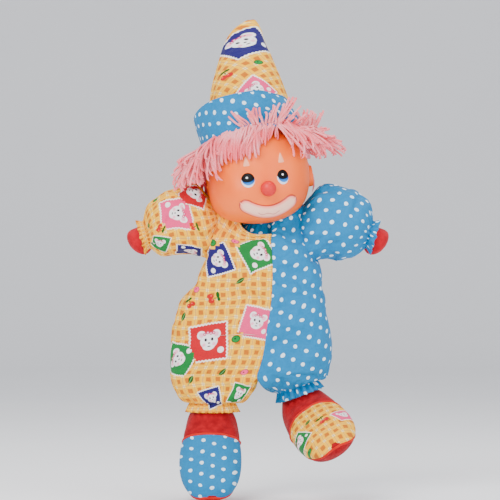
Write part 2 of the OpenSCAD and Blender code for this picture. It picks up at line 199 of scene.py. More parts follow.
def print_motifs(obj, anchors, mirror=1):
    """Gives each face the middle, design and colour of the printed picture nearest to it.

    An anchor is (x, y, z, angle in degrees, size, design, colour name), and lies at the mesh
    point nearest to it.
    """
    mesh = obj.data
    n = len(mesh.loops)
    uv, verts = np.zeros(n * 2, np.float32), np.zeros(n, np.int32)
    mesh.uv_layers["print"].data.foreach_get("uv", uv)
    mesh.loops.foreach_get("vertex_index", verts)
    uv = uv.reshape(-1, 2)
    co = np.zeros(len(mesh.vertices) * 3, np.float32)
    mesh.vertices.foreach_get("co", co)
    at_loop = (co.reshape(-1, 3) / MM)[verts]
    start = np.array([p.loop_start for p in mesh.polygons])
    count = np.array([p.loop_total for p in mesh.polygons])
    middle = np.add.reduceat(uv, start, axis=0) / count[:, None]
    centers = []
    for x, y, z, *_ in anchors:
        centers.append(uv[np.argmin(np.sum((at_loop - (x, y, z)) ** 2, axis=1))])
    reach = np.array([(PATCH_REACH if a[5] == PATCH else SMALL_REACH) * a[4] for a in anchors])
    gap = np.linalg.norm(middle[:, None] - np.array(centers)[None], axis=2) / reach
    pick = np.repeat(np.argmin(gap, axis=1), count)
    angle = np.radians([a[3] for a in anchors])[pick]
    size = np.array([a[4] for a in anchors])[pick]
    step = (uv - np.array(centers)[pick]) * (mirror, 1) / size[:, None]
    motif = np.stack([step[:, 0] * np.cos(angle) + step[:, 1] * np.sin(angle),
                      step[:, 1] * np.cos(angle) - step[:, 0] * np.sin(angle)], axis=1)
    tints = list(PATCHES)
    kind = np.array([(a[5], tints.index(a[6])) for a in anchors], float)[pick]
    for label, values in (("motif", motif), ("kind", kind)):
        layer = mesh.uv_layers.new(name=label)
        layer.data.foreach_set("uv", values.astype(np.float32).ravel())


def oval(center, u, v, n, start=0.0, stop=TAU, wrap=True):
    a = np.linspace(start, stop, n, endpoint=not wrap)
    return np.asarray(center) + np.outer(np.cos(a), u) + np.outer(np.sin(a), v)


def turned(points, rotation, origin):
    """Points turned by a matrix and moved to an origin."""
    p = np.asarray(points, float)
    return (p.reshape(-1, 3) @ np.array(rotation).T + origin).reshape(p.shape)


def spin(axis, angle):
    return np.array(Matrix.Rotation(angle, 3, axis))


def lengths_round(ring):
    """Running arc length round a closed ring, with the full length last."""
    step = np.linalg.norm(np.roll(ring, -1, axis=0) - ring, axis=1)
    return np.concatenate([[0], np.cumsum(step)])


def lengths_along(pts):
    """Running mean length down the rows of a grid of points."""
    step = np.linalg.norm(np.diff(pts, axis=0), axis=2).mean(axis=1)
    return np.concatenate([[0], np.cumsum(step)])


def ring_uv(pts, ref):
    """Print coordinates of a tube: u from the length round one row, v from the mean length along."""
    return np.stack(np.meshgrid(lengths_round(pts[ref]), lengths_along(pts)), axis=2)


def outward(ring, centre):
    """Unit vectors from a centre to each point of a ring."""
    out = ring - centre
    return out / np.maximum(np.linalg.norm(out, axis=-1, keepdims=True), 1e-6)


def creased(pts, amount, across, along, seed):
    """Small soft dents pushed along each ring's own radius."""
    rows, cols = pts.shape[:2]
    a = np.linspace(0, TAU, cols, endpoint=False)[None]
    t = np.linspace(0, 1, rows)[:, None]
    field = wander(np.cos(a) * across + 0 * t, np.sin(a) * across + t * along, seed)
    return pts + outward(pts, pts.mean(axis=1, keepdims=True)) * (field * amount)[..., None]


def tube_along(path, radius, sides=8, closed=False):
    """Rings of points round a path, with no twist, and the length along it."""
    path = np.asarray(path, float)
    if closed:
        way = np.roll(path, -1, axis=0) - np.roll(path, 1, axis=0)
    else:
        way = np.gradient(path, axis=0)
    way /= np.linalg.norm(way, axis=1)[:, None]
    side = np.cross(way[0], (0.31, 0.52, 0.79))
    rings = []
    radius = np.broadcast_to(radius, len(path))
    a = np.linspace(0, TAU, sides, endpoint=False)
    for p, d, r in zip(path, way, radius):
        side = side - d * side.dot(d)
        side /= np.linalg.norm(side)
        up = np.cross(d, side)
        rings.append(p + r * (np.outer(np.cos(a), side) + np.outer(np.sin(a), up)))
    step = np.linalg.norm(np.diff(path, axis=0), axis=1)
    return np.array(rings), np.concatenate([[0], np.cumsum(step)])


def strands(name, paths, radii, material, sides=6):
    """One mesh of many yarn strands, with the print UV along each."""
    pts, faces, uvs, base = [], [], [], 0
    for path, radius in zip(paths, radii):
        n = len(path)
        taper = np.full(n, radius)
        taper[0] *= 0.7
        taper[-1] *= 0.45
        rings, along = tube_along(path, taper, sides)
        tip = path[-1] + (path[-1] - path[-2]) * 0.25
        pts.append(rings.reshape(-1, 3))
        pts.append(tip[None])
        for r in range(n - 1):
            for c in range(sides):
                d = (c + 1) % sides
                a, b = base + r * sides + c, base + r * sides + d
                faces.append((a, b, b + sides, a + sides))
                u0, u1 = c / sides, (c + 1) / sides
                v0, v1 = along[r], along[r + 1]
                uvs += [(u0, v0), (u1, v0), (u1, v1), (u0, v1)]
        for c in range(sides):
            a = base + (n - 1) * sides
            faces.append((a + c, a + (c + 1) % sides, base + n * sides))
            uvs += [(c / sides, along[-1]), ((c + 1) / sides, along[-1]), (c / sides, along[-1])]
        base += n * sides + 1
    return dress(new_mesh(name, np.concatenate(pts), faces, uvs), material)


def simulate(obj, pressure, cap, frames=24, grow=0.085, bend=0.05):
    """Lets a piece settle as cloth that is a little too big, and keeps the result in its mesh.

    Points in the "pin" group stay. No point moves further than the cap, in millimetres.
    """
    group = obj.vertex_groups["pin"]
    cloth = obj.modifiers.new("sim", "CLOTH")
    s = cloth.settings
    s.quality = 5
    s.mass = 0.15
    s.tension_stiffness = s.compression_stiffness = 12
    s.shear_stiffness = 6
    s.bending_stiffness = bend
    s.vertex_group_mass = "pin"
    s.pin_stiffness = 1
    s.use_pressure = True
    s.uniform_pressure_force = pressure
    s.shrink_min = s.shrink_max = -grow
    s.effector_weights.gravity = 0
    cloth.collision_settings.use_collision = False
    cloth.point_cache.frame_start, cloth.point_cache.frame_end = 1, frames
    scene = bpy.context.scene
    for f in range(1, frames + 1):
        scene.frame_set(f)
    shape = obj.evaluated_get(bpy.context.evaluated_depsgraph_get()).to_mesh()
    n = len(obj.data.vertices)
    moved, start = np.zeros(n * 3, np.float32), np.zeros(n * 3, np.float32)
    shape.vertices.foreach_get("co", moved)
    obj.data.vertices.foreach_get("co", start)
    step = (moved - start).reshape(-1, 3)
    size = np.linalg.norm(step, axis=1)[:, None]
    limit = cap * MM
    step *= np.tanh(size / limit) * limit / np.maximum(size, 1e-9)
    obj.modifiers.remove(cloth)
    obj.vertex_groups.remove(group)
    obj.data.vertices.foreach_set("co", (start.reshape(-1, 3) + step).ravel())
    obj.data.update()
    scene.frame_set(1)


# ---------------------------------------------------------------- materials
def rgb(r, g, b):
    """A colour given as 0-255 display values."""
    c = [v / 255 for v in (r, g, b)]
    return tuple(v / 12.92 if v <= 0.04045 else ((v + 0.055) / 1.055) ** 2.4 for v in c) + (1.0,)


class Value:
    """A node's output, which can be added, subtracted and multiplied."""

    def __init__(self, shade, socket):
        self.shade, self.socket = shade, socket

    def __add__(self, other):
        return self.shade.math("ADD", self, other)

    def __radd__(self, other):
        return self.shade.math("ADD", other, self)

    def __sub__(self, other):
        return self.shade.math("SUBTRACT", self, other)

    def __rsub__(self, other):
        return self.shade.math("SUBTRACT", other, self)

    def __mul__(self, other):
        return self.shade.math("MULTIPLY", self, other)

    def __abs__(self):
        return self.shade.math("ABSOLUTE", self)


class Shade:
    """A node material written as short expressions."""

    def __init__(self, name):
        self.mat = bpy.data.materials.new(name)
        self.mat.use_nodes = True
        self.tree = self.mat.node_tree
        self.shader = self.tree.nodes["Principled BSDF"]

    def node(self, kind, inputs=(), out=0, **settings):
        n = self.tree.nodes.new("ShaderNode" + kind)
        for k, v in settings.items():
            setattr(n, k, v)
        for k, v in dict(inputs).items():
            self.put(n.inputs[k], v)
        return Value(self, n.outputs[out])

    def put(self, socket, value):
        if isinstance(value, Value):
            self.tree.links.new(value.socket, socket)
        elif value is not None:
            socket.default_value = value

    def math(self, op, a, b=None, c=None):
        return self.node("Math", {0: a, 1: b, 2: c}, operation=op)

    def low(self, a, b):
        return self.math("MINIMUM", a, b)

    def high(self, first, *rest):
        for v in rest:
            first = self.math("MAXIMUM", first, v)
        return first

    def step(self, value, a, b):
        """0 below a, 1 above b (or the other way round if b < a), smooth between."""
        flip = b < a
        ends = {0: value, 1: min(a, b), 2: max(a, b), 3: float(flip), 4: float(not flip)}
        return self.node("MapRange", ends, interpolation_type="SMOOTHSTEP")

    def mix(self, t, a, b, blend="MIX"):
        return self.node("Mix", {0: t, 6: a, 7: b}, 2, data_type="RGBA", blend_type=blend)

    def tint(self, t, color, factor):
        """The colour multiplied by a factor where t is 1."""
        return self.mix(t, color, self.mix(1.0, color, factor, "MULTIPLY"))

    def uv(self, name="print"):
        return self.node("UVMap", uv_map=name)

    def place(self):
        return self.node("TexCoord", out="Object")

    def split(self, vector):
        x = self.node("SeparateXYZ", {0: vector})
        return x, *(Value(self, x.socket.node.outputs[k]) for k in (1, 2))

    def join(self, x, y, z=0.0):
        return self.node("CombineXYZ", {0: x, 1: y, 2: z})

    def scaled(self, vector, factor):
        return self.node("VectorMath", {0: vector, 3: factor}, operation="SCALE")

    def noise(self, vector, scale, detail=3.0, rough=0.55):
        return self.node("TexNoise", {"Vector": vector, "Scale": scale, "Detail": detail, "Roughness": rough})

    def disc(self, x, y, cx, cy, radius, edge=0.3, tall=1.0):
        """1 inside a disc, 0 outside."""
        dx, dy = x - cx, (y - cy) * (1 / tall)
        return self.step(self.math("SQRT", dx * dx + dy * dy), radius + edge, radius - edge)

    def bump(self, height, strength, mm, over=None):
        return self.node("Bump", {"Height": height, "Strength": strength, "Distance": mm * MM, "Normal": over})

    def finish(self, color, rough, normal=None, **settings):
        self.put(self.shader.inputs["Base Color"], color)
        self.put(self.shader.inputs["Roughness"], rough)
        if normal is not None:
            self.put(self.shader.inputs["Normal"], normal)
        for k, v in settings.items():
            self.shader.inputs[k.replace("_", " ")].default_value = v
        return self.mat


def weave(s, u, v, pitch=0.55):
    """Height of a plain weave with threads `pitch` millimetres apart."""
    a = s.math("SINE", u * (TAU / pitch))
    b = s.math("SINE", v * (TAU / pitch))
    return abs(a + b)


def cloth_finish(s, color, u, v, rough=0.82, thread=0.55):
    """Woven cotton: thread relief, small creases with painted shade in their hollows, and a soft sheen."""
    uv = s.join(u, v)
    slub = s.noise(uv, 0.9, 4.0)
    crease = s.noise(uv, 0.085, 3.0, 0.5)
    color = s.tint(s.step(slub, 0.35, 0.7) * 0.12, color, (0.72, 0.74, 0.8, 1))
    # painted shade: the cloth is darkened where the crease bump dips, in the creases' hollows
    color = s.tint(s.step(crease, 0.62, 0.3) * 0.10, color, (0.75, 0.72, 0.78, 1))
    normal = s.bump(crease, 0.55, 5.0)
    normal = s.bump(weave(s, u, v, thread), 0.28, 0.12, normal)
    normal = s.bump(slub, 0.25, 0.25, normal)
    roughness = rough - 0.06 + slub * 0.12
    return s.finish(color, roughness, normal, Sheen_Weight=0.05, Sheen_Roughness=0.5, Specular_IOR_Level=0.2)


PATCHES = {"navy": rgb(34, 26, 104), "green": rgb(10, 128, 52), "pink": rgb(255, 70, 130),
           "red": rgb(208, 12, 28)}
PATCH, BUTTON, LEAF, CHERRY = range(4)
PATCH_REACH, SMALL_REACH = 20.0, 8.0     # how far a picture keeps its neighbours off, at size 1


def motif_print(s, base):
    """The small printed pictures: a pinked patch with a bear, a button, a leaf and two cherries.

    The "motif" UV map holds millimetres from the middle of the nearest picture, and the "kind"
    map its design and colour.
    """
    x, y, _ = s.split(s.uv("motif"))
    kind, tint, _ = s.split(s.uv("kind"))

    def is_kind(number):
        return s.math("COMPARE", kind, float(number), 0.4)

    def discs(*rows):
        """1 inside any of the discs, given as x, y, radius, edge and tallness."""
        return s.high(*(s.disc(x, y, *row) for row in rows))

    colors = list(PATCHES.values())
    patch_color = colors[0]
    for i, c in enumerate(colors[1:], 1):
        patch_color = s.mix(s.step(tint, i - 0.6, i - 0.4), patch_color, c)

    # the patch: a square with a saw-tooth edge on a pale halo
    half, tooth, pitch = 14.0, 0.75, 2.6
    saw_x = s.math("PINGPONG", x, pitch / 2) * (2 * tooth / pitch)
    saw_y = s.math("PINGPONG", y, pitch / 2) * (2 * tooth / pitch)
    reach = s.high(abs(x) + saw_y, abs(y) + saw_x)
    patch = s.step(reach, half + 0.25, half - 0.15) * is_kind(PATCH)
    halo = s.step(reach, half + 1.8, half + 0.8) * is_kind(PATCH)
    out = s.mix(halo, base, rgb(250, 244, 232))
    grain = s.noise(s.join(x, y), 1.2, 2.0)
    out = s.mix(patch, out, s.mix(grain * 0.35, patch_color, rgb(20, 20, 40)))

    # a white bear's head with round ears, a paw and a ring of pink beads
    head = discs((0.5, 1.0, 6.6, 0.35, 0.9), (-5.2, 6.2, 3.3), (6.4, 5.8, 3.3), (0.2, -3.0, 4.6, 0.35, 0.7),
                 (9.4, -7.0, 2.4))
    fur = s.mix(s.step(s.noise(s.join(x, y), 1.6, 2.0), 0.5, 0.62) * 0.4, rgb(248, 246, 244),
                rgb(170, 165, 180))
    out = s.mix(head * patch, out, fur)
    blush = discs((-5.2, 6.2, 1.8), (6.4, 5.8, 1.8), (-3.4, -1.6, 1.3), (4.2, -1.6, 1.3))
    out = s.mix(blush * (patch * 0.85), out, rgb(250, 160, 185))
    ink = discs((-2.0, 2.2, 1.0, 0.2, 1.25), (3.0, 2.2, 1.0, 0.2, 1.25), (0.5, -0.6, 0.9, 0.2, 0.7),
                (0.5, -3.2, 1.3, 0.2, 0.35))
    out = s.mix(ink * patch, out, rgb(40, 30, 38))
    for radius, color in ((1.25, rgb(190, 30, 90)), (0.55, rgb(255, 200, 215))):
        beads = discs(*((bx, 7.0 + 0.5 * math.cos(bx), radius) for bx in (-2.6, -0.2, 2.2, 4.4)))
        out = s.mix(beads * patch, out, color)

    # the button: a flat round with a darker rim and a small mark
    is_button = is_kind(BUTTON)
    rim = s.tint(1.0, patch_color, (0.35, 0.25, 0.3, 1))
    for row, color in (((0, 0, 3.9, 0.2, 0.82), rim), ((0, 0, 3.2, 0.25, 0.82), patch_color),
                       ((-0.6, 0.5, 0.7), rgb(30, 40, 30))):
        out = s.mix(discs(row) * is_button, out, color)

    # the leaf: two arcs that meet in points, with a vein and a stalk
    lens = s.low(discs((0, -3.4, 5.6)), discs((0, 3.4, 5.6)))
    vein = s.step(abs(y + x * 0.1), 0.5, 0.25)
    stalk = s.step(x, -6.8, -6.4) * (s.step(x, -4.0, -4.4) * vein)
    green = s.mix(vein, rgb(10, 72, 22), rgb(96, 150, 80))
    out = s.mix(s.high(lens, stalk) * is_kind(LEAF), out, green)

    # cherries: two red rounds, each with a shine, hanging from a leaf
    is_cherry = is_kind(CHERRY)
    for rows, color in (
        (((-2.6, 3.6, 2.8, 0.3, 0.5), (1.4, 3.9, 2.4, 0.3, 0.5), (0.2, 1.4, 0.5, 0.2, 3.5)), rgb(14, 80, 20)),
        (((-1.6, -2.6, 2.6), (2.8, -2.2, 2.6)), rgb(190, 12, 10)),
        (((-2.4, -1.7, 0.7), (2.0, -1.3, 0.7)), rgb(250, 90, 70)),
    ):
        out = s.mix(discs(*rows) * is_cherry, out, color)
    return out


def gingham(name="gingham", motifs=True, angle=0.0):
    """Golden check with orange crossings, pale gaps and thin grey-lilac lines."""
    s = Shade(name)
    u, v, _ = s.split(s.uv())
    if angle:
        c, d = math.cos(angle), math.sin(angle)
        u, v = u * c + v * d, v * c - u * d
    pitch = 8.9
    drift = s.noise(s.join(u, v), 0.11, 1.0)
    u2, v2 = u + drift * 2.6, v + drift * 2.2
    across = s.math("PINGPONG", u2, pitch / 2)
    along = s.math("PINGPONG", v2, pitch / 2)
    across, along = across * (2 / pitch), along * (2 / pitch)   # 0 at a stripe's middle, 1 mid-gap
    sx, sy = s.step(across, 0.80, 0.62), s.step(along, 0.80, 0.62)
    core = s.step(across, 0.52, 0.36) * s.step(along, 0.52, 0.36)
    pale = s.mix(s.noise(s.join(u, v), 0.5, 2.0), rgb(255, 242, 156), rgb(255, 230, 136))
    yellow = s.mix(s.noise(s.join(v, u), 0.4, 2.0), rgb(255, 198, 0), rgb(255, 186, 0))
    color = s.mix(s.high(sx, sy), pale, yellow)
    color = s.mix(sx * sy * 0.5, color, rgb(244, 160, 0))
    color = s.mix(core * 0.95, color, rgb(194, 102, 0))
    line = s.high(s.step(across, 0.90, 0.97), s.step(along, 0.90, 0.97))
    color = s.mix(line * 0.62, color, rgb(170, 84, 110))
    if motifs:
        color = motif_print(s, color)
    return cloth_finish(s, color, u, v)


def dots(name="dots"):
    """Clear blue cotton with small near-white spots in a slanted lattice."""
    s = Shade(name)
    u, v, _ = s.split(s.uv())
    drift = s.noise(s.join(u, v), 0.08, 1.0)
    u, v = u + drift * 3.4, v + drift * 3.0
    ax, ay, bx, by = 9.6, -3.4, 0.4, 11.4
    det = ax * by - bx * ay
    p = u * (by / det) - v * (bx / det)
    q = v * (ax / det) - u * (ay / det)
    p, q = s.math("FRACT", p) - 0.5, s.math("FRACT", q) - 0.5
    x = p * ax + q * bx
    y = p * ay + q * by
    wobble = s.noise(s.join(u, v), 0.7, 2.0)
    r = s.math("SQRT", x * x + y * y) + wobble * 0.5
    spot = s.step(r, 2.2, 1.85)
    blue = s.mix(s.noise(s.join(u, v), 0.35, 3.0), rgb(0, 112, 166), rgb(0, 127, 182))
    color = s.mix(spot, blue, rgb(226, 246, 255))
    return cloth_finish(s, color, u, v)


def jersey(name, main, deep, rib=0.8):
    """Brushed knit: fine wales with painted shade in the grooves between them, a napped surface and a slight colour
    drift.
    """
    s = Shade(name)
    u, v, _ = s.split(s.uv())
    uv = s.join(u, v)
    fuzz = s.noise(uv, 2.4, 4.0, 0.7)
    patchy = s.noise(uv, 0.12, 3.0)
    wale = abs(s.math("SINE", u * (math.pi / rib)))
    stitch = abs(s.math("SINE", v * (math.pi / rib) + wale * 0.9))
    color = s.mix(s.step(patchy, 0.3, 0.72), main, deep)
    color = s.tint(s.step(fuzz, 0.5, 0.8) * 0.3, color, (1.35, 1.3, 1.3, 1))
    # painted shade: darker in the grooves between wales, where the wale bump dips
    color = s.tint((1.0 - wale) * 0.25, color, (0.5, 0.45, 0.5, 1))
    normal = s.bump(wale * 0.6 + stitch * 0.4, 0.35, 0.25)
    normal = s.bump(fuzz, 0.5, 0.5, normal)
    return s.finish(color, 0.85 + fuzz * 0.1, normal, Sheen_Weight=0.08, Sheen_Roughness=0.45,
                    Specular_IOR_Level=0.15)


def yarn():
    s = Shade("yarn")
    u, v, _ = s.split(s.uv())
    turn = u * (TAU * 2) + v * (TAU / 2.6)
    ply = abs(s.math("SINE", turn * 0.5))
    tone = s.noise(s.place(), 42.0, 2.0)
    fuzz = s.noise(s.join(u * 9.0, v), 1.4, 4.0, 0.7)
    color = s.mix(s.step(tone, 0.32, 0.68), rgb(255, 106, 118), rgb(255, 162, 168))
    # painted shade: darker in the grooves between the plies, where the ply bump dips
    color = s.mix((1.0 - ply) * 0.3, color, rgb(226, 70, 96))
    color = s.mix(s.step(fuzz, 0.55, 0.8) * 0.3, color, rgb(255, 206, 212))
    normal = s.bump(ply, 0.45, 0.35)
    normal = s.bump(fuzz, 0.4, 0.2, normal)
    return s.finish(color, 0.72 + fuzz * 0.16, normal, Sheen_Weight=0.08, Sheen_Roughness=0.4,
                    Specular_IOR_Level=0.25, Subsurface_Weight=0.12, Subsurface_Scale=0.002)


def vinyl():
    """Soft orange-pink doll vinyl, slightly rosy at cheeks and ears, matt with a faint grain."""
    s = Shade("face_vinyl")
    place = s.place()
    x, y, z = s.split(s.scaled(place, 1 / MM))
    tone = s.noise(place, 26.0, 3.0)
    grain = s.noise(place, 1400.0, 2.0)
    color = s.mix(s.step(tone, 0.3, 0.72), rgb(255, 112, 6), rgb(252, 100, 2))
    low_x, low_z = NECK[0], NECK[2]
    cheeks = s.high(s.disc(x, z, low_x - 28, low_z + 25, 3.0, 15.0), s.disc(x, z, low_x + 34, low_z + 19, 3.0, 15.0))
    color = s.mix(cheeks * 0.30, color, rgb(244, 76, 22))
    scuff = s.noise(place, 90.0, 4.0, 0.65)
    color = s.mix(s.step(scuff, 0.62, 0.78) * 0.18, color, rgb(232, 90, 26))
    normal = s.bump(grain, 0.06, 0.15)
    rough = 0.42 + s.step(scuff, 0.45, 0.75) * 0.14
    return s.finish(color, rough, normal, Subsurface_Weight=0.15, Subsurface_Radius=(0.9, 0.35, 0.18),
                    Subsurface_Scale=0.006, Specular_IOR_Level=0.42)


def painted(name, main, deep, rough=0.3):
    """Plain paint or plastic with brush-scale tone changes."""
    s = Shade(name)
    place = s.place()
    tone = s.noise(place, 120.0, 3.0)
    fine = s.noise(place, 900.0, 2.0)
    color = s.mix(s.step(tone, 0.3, 0.7), main, deep)
    roughness = rough + tone * 0.12
    return s.finish(color, roughness, s.bump(fine, 0.05, 0.1), Specular_IOR_Level=0.5)


EYE_SIZE = (5.5, 6.5)          # half width and half height that the eye's paint is drawn for


def eye_paint():
    """Black pupil above a blue crescent above a white crescent, with a small painted highlight for the gloss's
    reflection.
    """
    s = Shade("eye_paint")
    u, v, _ = s.split(s.uv())
    smear = s.noise(s.join(u, v), 0.8, 2.0)
    white = s.mix(smear, rgb(236, 236, 244), rgb(206, 216, 238))
    blue = s.mix(s.step(v, -5.0, 0.5), rgb(30, 126, 214), rgb(6, 50, 120))
    color = s.mix(s.disc(u, v, 0.4, 0.6, 5.0, 0.35, 1.06), white, blue)
    color = s.mix(s.disc(u, v, 0.0, 2.4, 5.4, 0.35, 0.84), color, rgb(4, 4, 7))
    # painted highlight: a white dot on the pupil stands in for the reflection of the light
    color = s.mix(s.disc(u, v, -0.4, 2.0, 0.85, 0.3), color, rgb(255, 255, 255))
    eu, ev = u * (1 / EYE_SIZE[0]), v * (1 / EYE_SIZE[1])
    edge = s.math("SQRT", eu * eu + ev * ev)
    color = s.mix(s.step(edge, 0.93, 1.0) * 0.5, color, rgb(190, 96, 60))
    return s.finish(color, 0.42 + smear * 0.1, None, Specular_IOR_Level=0.12)


def mouth_paint():
    """Pinkish white with a pink border, a rose outline and a thin hand-painted lip line."""
    s = Shade("mouth_paint")
    u, v, _ = s.split(s.uv())          # u along the mouth in mm, v from -1 to 1 across it
    smear = s.noise(s.join(u, v * 5.6), 0.35, 3.0)
    edge = abs(v)
    color = s.mix(smear, rgb(255, 206, 178), rgb(255, 186, 162))
    color = s.mix(s.step(edge, 0.35, 0.75), color, rgb(255, 140, 124))
    color = s.mix(s.step(edge, 0.74, 0.84), color, rgb(190, 50, 22))
    wave = s.math("SINE", (u - 1.0) * 0.62) * 0.10
    lip = s.step(abs(v + 0.22 + wave), 0.10, 0.03) * (s.step(u, -10.5, -8.5) * s.step(u, 9.5, 7.5))
    color = s.mix(lip * 0.7, color, rgb(206, 100, 104))
    return s.finish(color, 0.34 + smear * 0.1, s.bump(smear, 0.15, 0.3), Specular_IOR_Level=0.45)


def elastic(name="elastic"):
    s = Shade(name)
    u, v, _ = s.split(s.uv())
    rib = abs(s.math("SINE", u * (math.pi / 1.1)))
    fuzz = s.noise(s.join(u, v), 2.0, 3.0)
    # painted light and shade: the ribs are lighter on their crests and darker in the grooves between them
    color = s.mix(rib, rgb(180, 176, 172), rgb(236, 232, 226))
    color = s.mix(fuzz * 0.25, color, rgb(150, 146, 150))
    return s.finish(color, 0.7 + fuzz * 0.15, s.bump(rib, 0.6, 0.4), Specular_IOR_Level=0.3)


def plain_weave(name, main, deep, thread=0.6):
    s = Shade(name)
    x, y, z = s.split(s.scaled(s.place(), 1 / MM))
    tone = s.noise(s.place(), 60.0, 3.0)
    color = s.mix(s.step(tone, 0.3, 0.7), main, deep)
    return cloth_finish(s, color, x + y * 0.7, z, 0.85, thread)


def card():
    s = Shade("tube_card")
    place = s.place()
    x, y, z = s.split(s.scaled(place, 1 / MM))
    fibre = s.noise(s.join(x * 3.0, y * 3.0, z), 0.5, 4.0, 0.7)
    round_tube = s.math("ARCTAN2", y - BODY_Y, x - NECK[0])
    lap = s.step(s.math("PINGPONG", z + round_tube * 2.2, 7.0), 0.25, 0.05)
    color = s.mix(fibre, rgb(196, 160, 112), rgb(160, 124, 84))
    color = s.mix(lap * 0.5, color, rgb(112, 84, 56))
    return s.finish(color, 0.78 + fibre * 0.15, s.bump(fibre, 0.3, 0.3), Specular_IOR_Level=0.25)


GINGHAM, DOTS = gingham(), dots()
CLOTH, CLOTH_SLOT = {-1: GINGHAM, 1: DOTS}, {-1: "gingham_cloth", 1: "dotted_cloth"}
EDGE_GINGHAM = gingham("edge_gingham", motifs=False)
HAT_GINGHAM = gingham("hat_gingham", angle=math.radians(38))
RED = jersey("red_jersey", rgb(176, 6, 24), rgb(140, 2, 16))
MITT_RED = jersey("mitten_jersey", rgb(200, 8, 34), rgb(172, 4, 24))
YARN, VINYL, EYE, MOUTH = yarn(), vinyl(), eye_paint(), mouth_paint()
BROW = painted("brow_paint", rgb(255, 176, 136), rgb(255, 160, 124), 0.4)
NOSE = painted("nose_plastic", rgb(224, 2, 1), rgb(202, 1, 1), 0.42)
ELASTIC, CARD = elastic(), card()
LINING = plain_weave("lining", rgb(228, 224, 214), rgb(206, 200, 190))
PIPING = jersey("toe_piping", rgb(214, 30, 14), rgb(190, 16, 8), 0.5)


# ---------------------------------------------------------------- suit
BODY = np.array([       # z, right x, left x, seam x, front depth, back depth
    (-62, -76.8, 63.8, -1.0, 34.5, 36.5),
    (-50, -78.2, 64.8, 3.0, 38.0, 40.0),
    (-36, -78.4, 65.0, 5.8, 40.0, 42.5),
    (-20, -77.8, 63.2, 7.8, 41.8, 43.8),
    (-6, -74.0, 59.6, 10.4, 42.6, 44.0),
    (6, -68.0, 56.0, 11.8, 42.4, 44.0),
    (16, -60.6, 54.4, 12.3, 41.0, 43.0),
    (26, -55.6, 53.4, 12.8, 39.0, 41.0),
    (36, -49.6, 51.0, 12.8, 37.0, 38.5),
    (46, -46.8, 49.0, 12.2, 35.0, 36.0),
    (56, -46.6, 47.0, 11.2, 32.0, 32.5),
])
SHOULDER = np.array([   # share of the way to the neck, side x, side z, front depth, front z
    (0.00, 46.8, 56, 32.0, 56),
    (0.14, 46.2, 66, 30.0, 60),
    (0.30, 44.0, 75, 27.5, 63.5),
    (0.46, 41.0, 83, 25.0, 66.5),
    (0.60, 36.0, 88, 23.0, 69),
    (0.74, 29.5, 87, 21.0, 71),
    (0.88, 22.5, 80, 18.5, 72),
    (1.00, 17.0, 73, 16.5, 72),
])
ROUNDNESS = 2 / 2.25
INNER, OUTER = 16, 96          # columns inside each trouser leg, front or back, and round the outside
COLUMNS = OUTER + 2 * INNER
SHOULDER_ROWS = 18             # rows of points between neck and chest
LEGS = {                       # gathered ring: centre, roll about Y, radius
    -1: (np.array([-40.5, BODY_Y, -88.0]), 0.0, 19.5),
    1: (np.array([35.0, BODY_Y, -73.5]), -HEM_ROLL, 18.0),
}
CROTCH = -62.0
OPENING = (42.0, 26.0)         # half width and half height of the hand's way in


def bent(t):
    return np.sign(t) * np.abs(t) ** ROUNDNESS


def outer_angles(seam_share):
    """Angles from the front seam round the outside to the back seam."""
    a = math.copysign(abs(seam_share) ** (1 / ROUNDNESS), seam_share)
    first = math.asin(max(-1, min(1, a)))
    return np.linspace(first, math.pi - first, OUTER + 1)


def body_ring(side, z):
    right, left, seam, front, back = spline(BODY[:, 0], BODY[:, 1:], z)[0]
    right += 3.0 * smooth(36, 16, z)    # room for the cloth to swell into
    left -= 2.6 * smooth(6, -12, z)
    middle, half = (left + right) / 2, (left - right) / 2
    a = outer_angles(side * (seam - middle) / half)
    c = np.cos(a)
    depth = np.where(c > 0, front, back)
    return np.stack([middle + side * half * bent(np.sin(a)), BODY_Y - depth * bent(c), np.full(len(a), z)], axis=1)


def shoulder_ring(side, share):
    """A ring between chest and neck. Near the front seam it stops early, which leaves a notch."""
    seam_x = 11.2
    a = outer_angles(side * (seam_x - 0.2) / 46.8)
    notch = smooth(0.0, 1.05, a) if side < 0 else smooth(-0.1, 0.5, a)
    kept = 0.16 if side < 0 else 0.45
    part = share * (kept + (1 - kept) * np.where(a > math.pi / 2, 1, notch))
    side_x, side_z, front, front_z = spline(SHOULDER[:, 0], SHOULDER[:, 1:], part).T
    middle = 0.2 + (NECK[0] - 0.2) * part
    lift = np.abs(np.sin(a)) ** 1.7
    behind = np.clip(-np.cos(a), 0, 1)
    x = middle + side * side_x * bent(np.sin(a))
    y = BODY_Y - front * bent(np.cos(a)) * (1 + 0.02 * behind)
    z = front_z + (side_z - front_z) * lift + 2.0 * behind * part
    return np.stack([x, y, z], axis=1)


def leg_ring(side, turn):
    """A ring of one trouser leg, from the crotch (turn 0) to the elastic (turn a quarter circle)."""
    top = body_ring(side, CROTCH)
    a = np.linspace(0, 1, INNER + 1)[:, None]
    mid = (top[0] + top[-1]) / 2 - (side * -0.5, 0, 0)
    front_in = mid + (top[0] - mid) * a
    back_in = top[-1] + (mid - top[-1]) * a
    start = np.concatenate([front_in[:-1], top, back_in[1:-1]])
    centre, roll, radius = LEGS[side]
    angle = np.radians(np.interp(np.arange(COLUMNS), (0, INNER, INNER + OUTER, COLUMNS), (0, 32, 328, 360)))
    local = np.stack([-side * np.cos(angle), -np.sin(angle), 0 * angle], axis=1) * radius
    stop = turned(local, spin("Y", roll), centre)
    across, down = math.cos(turn), math.sin(turn)
    out = stop + (start - stop) * across
    out[:, 2] = start[:, 2] + (stop[:, 2] - start[:, 2]) * down
    return out, angle


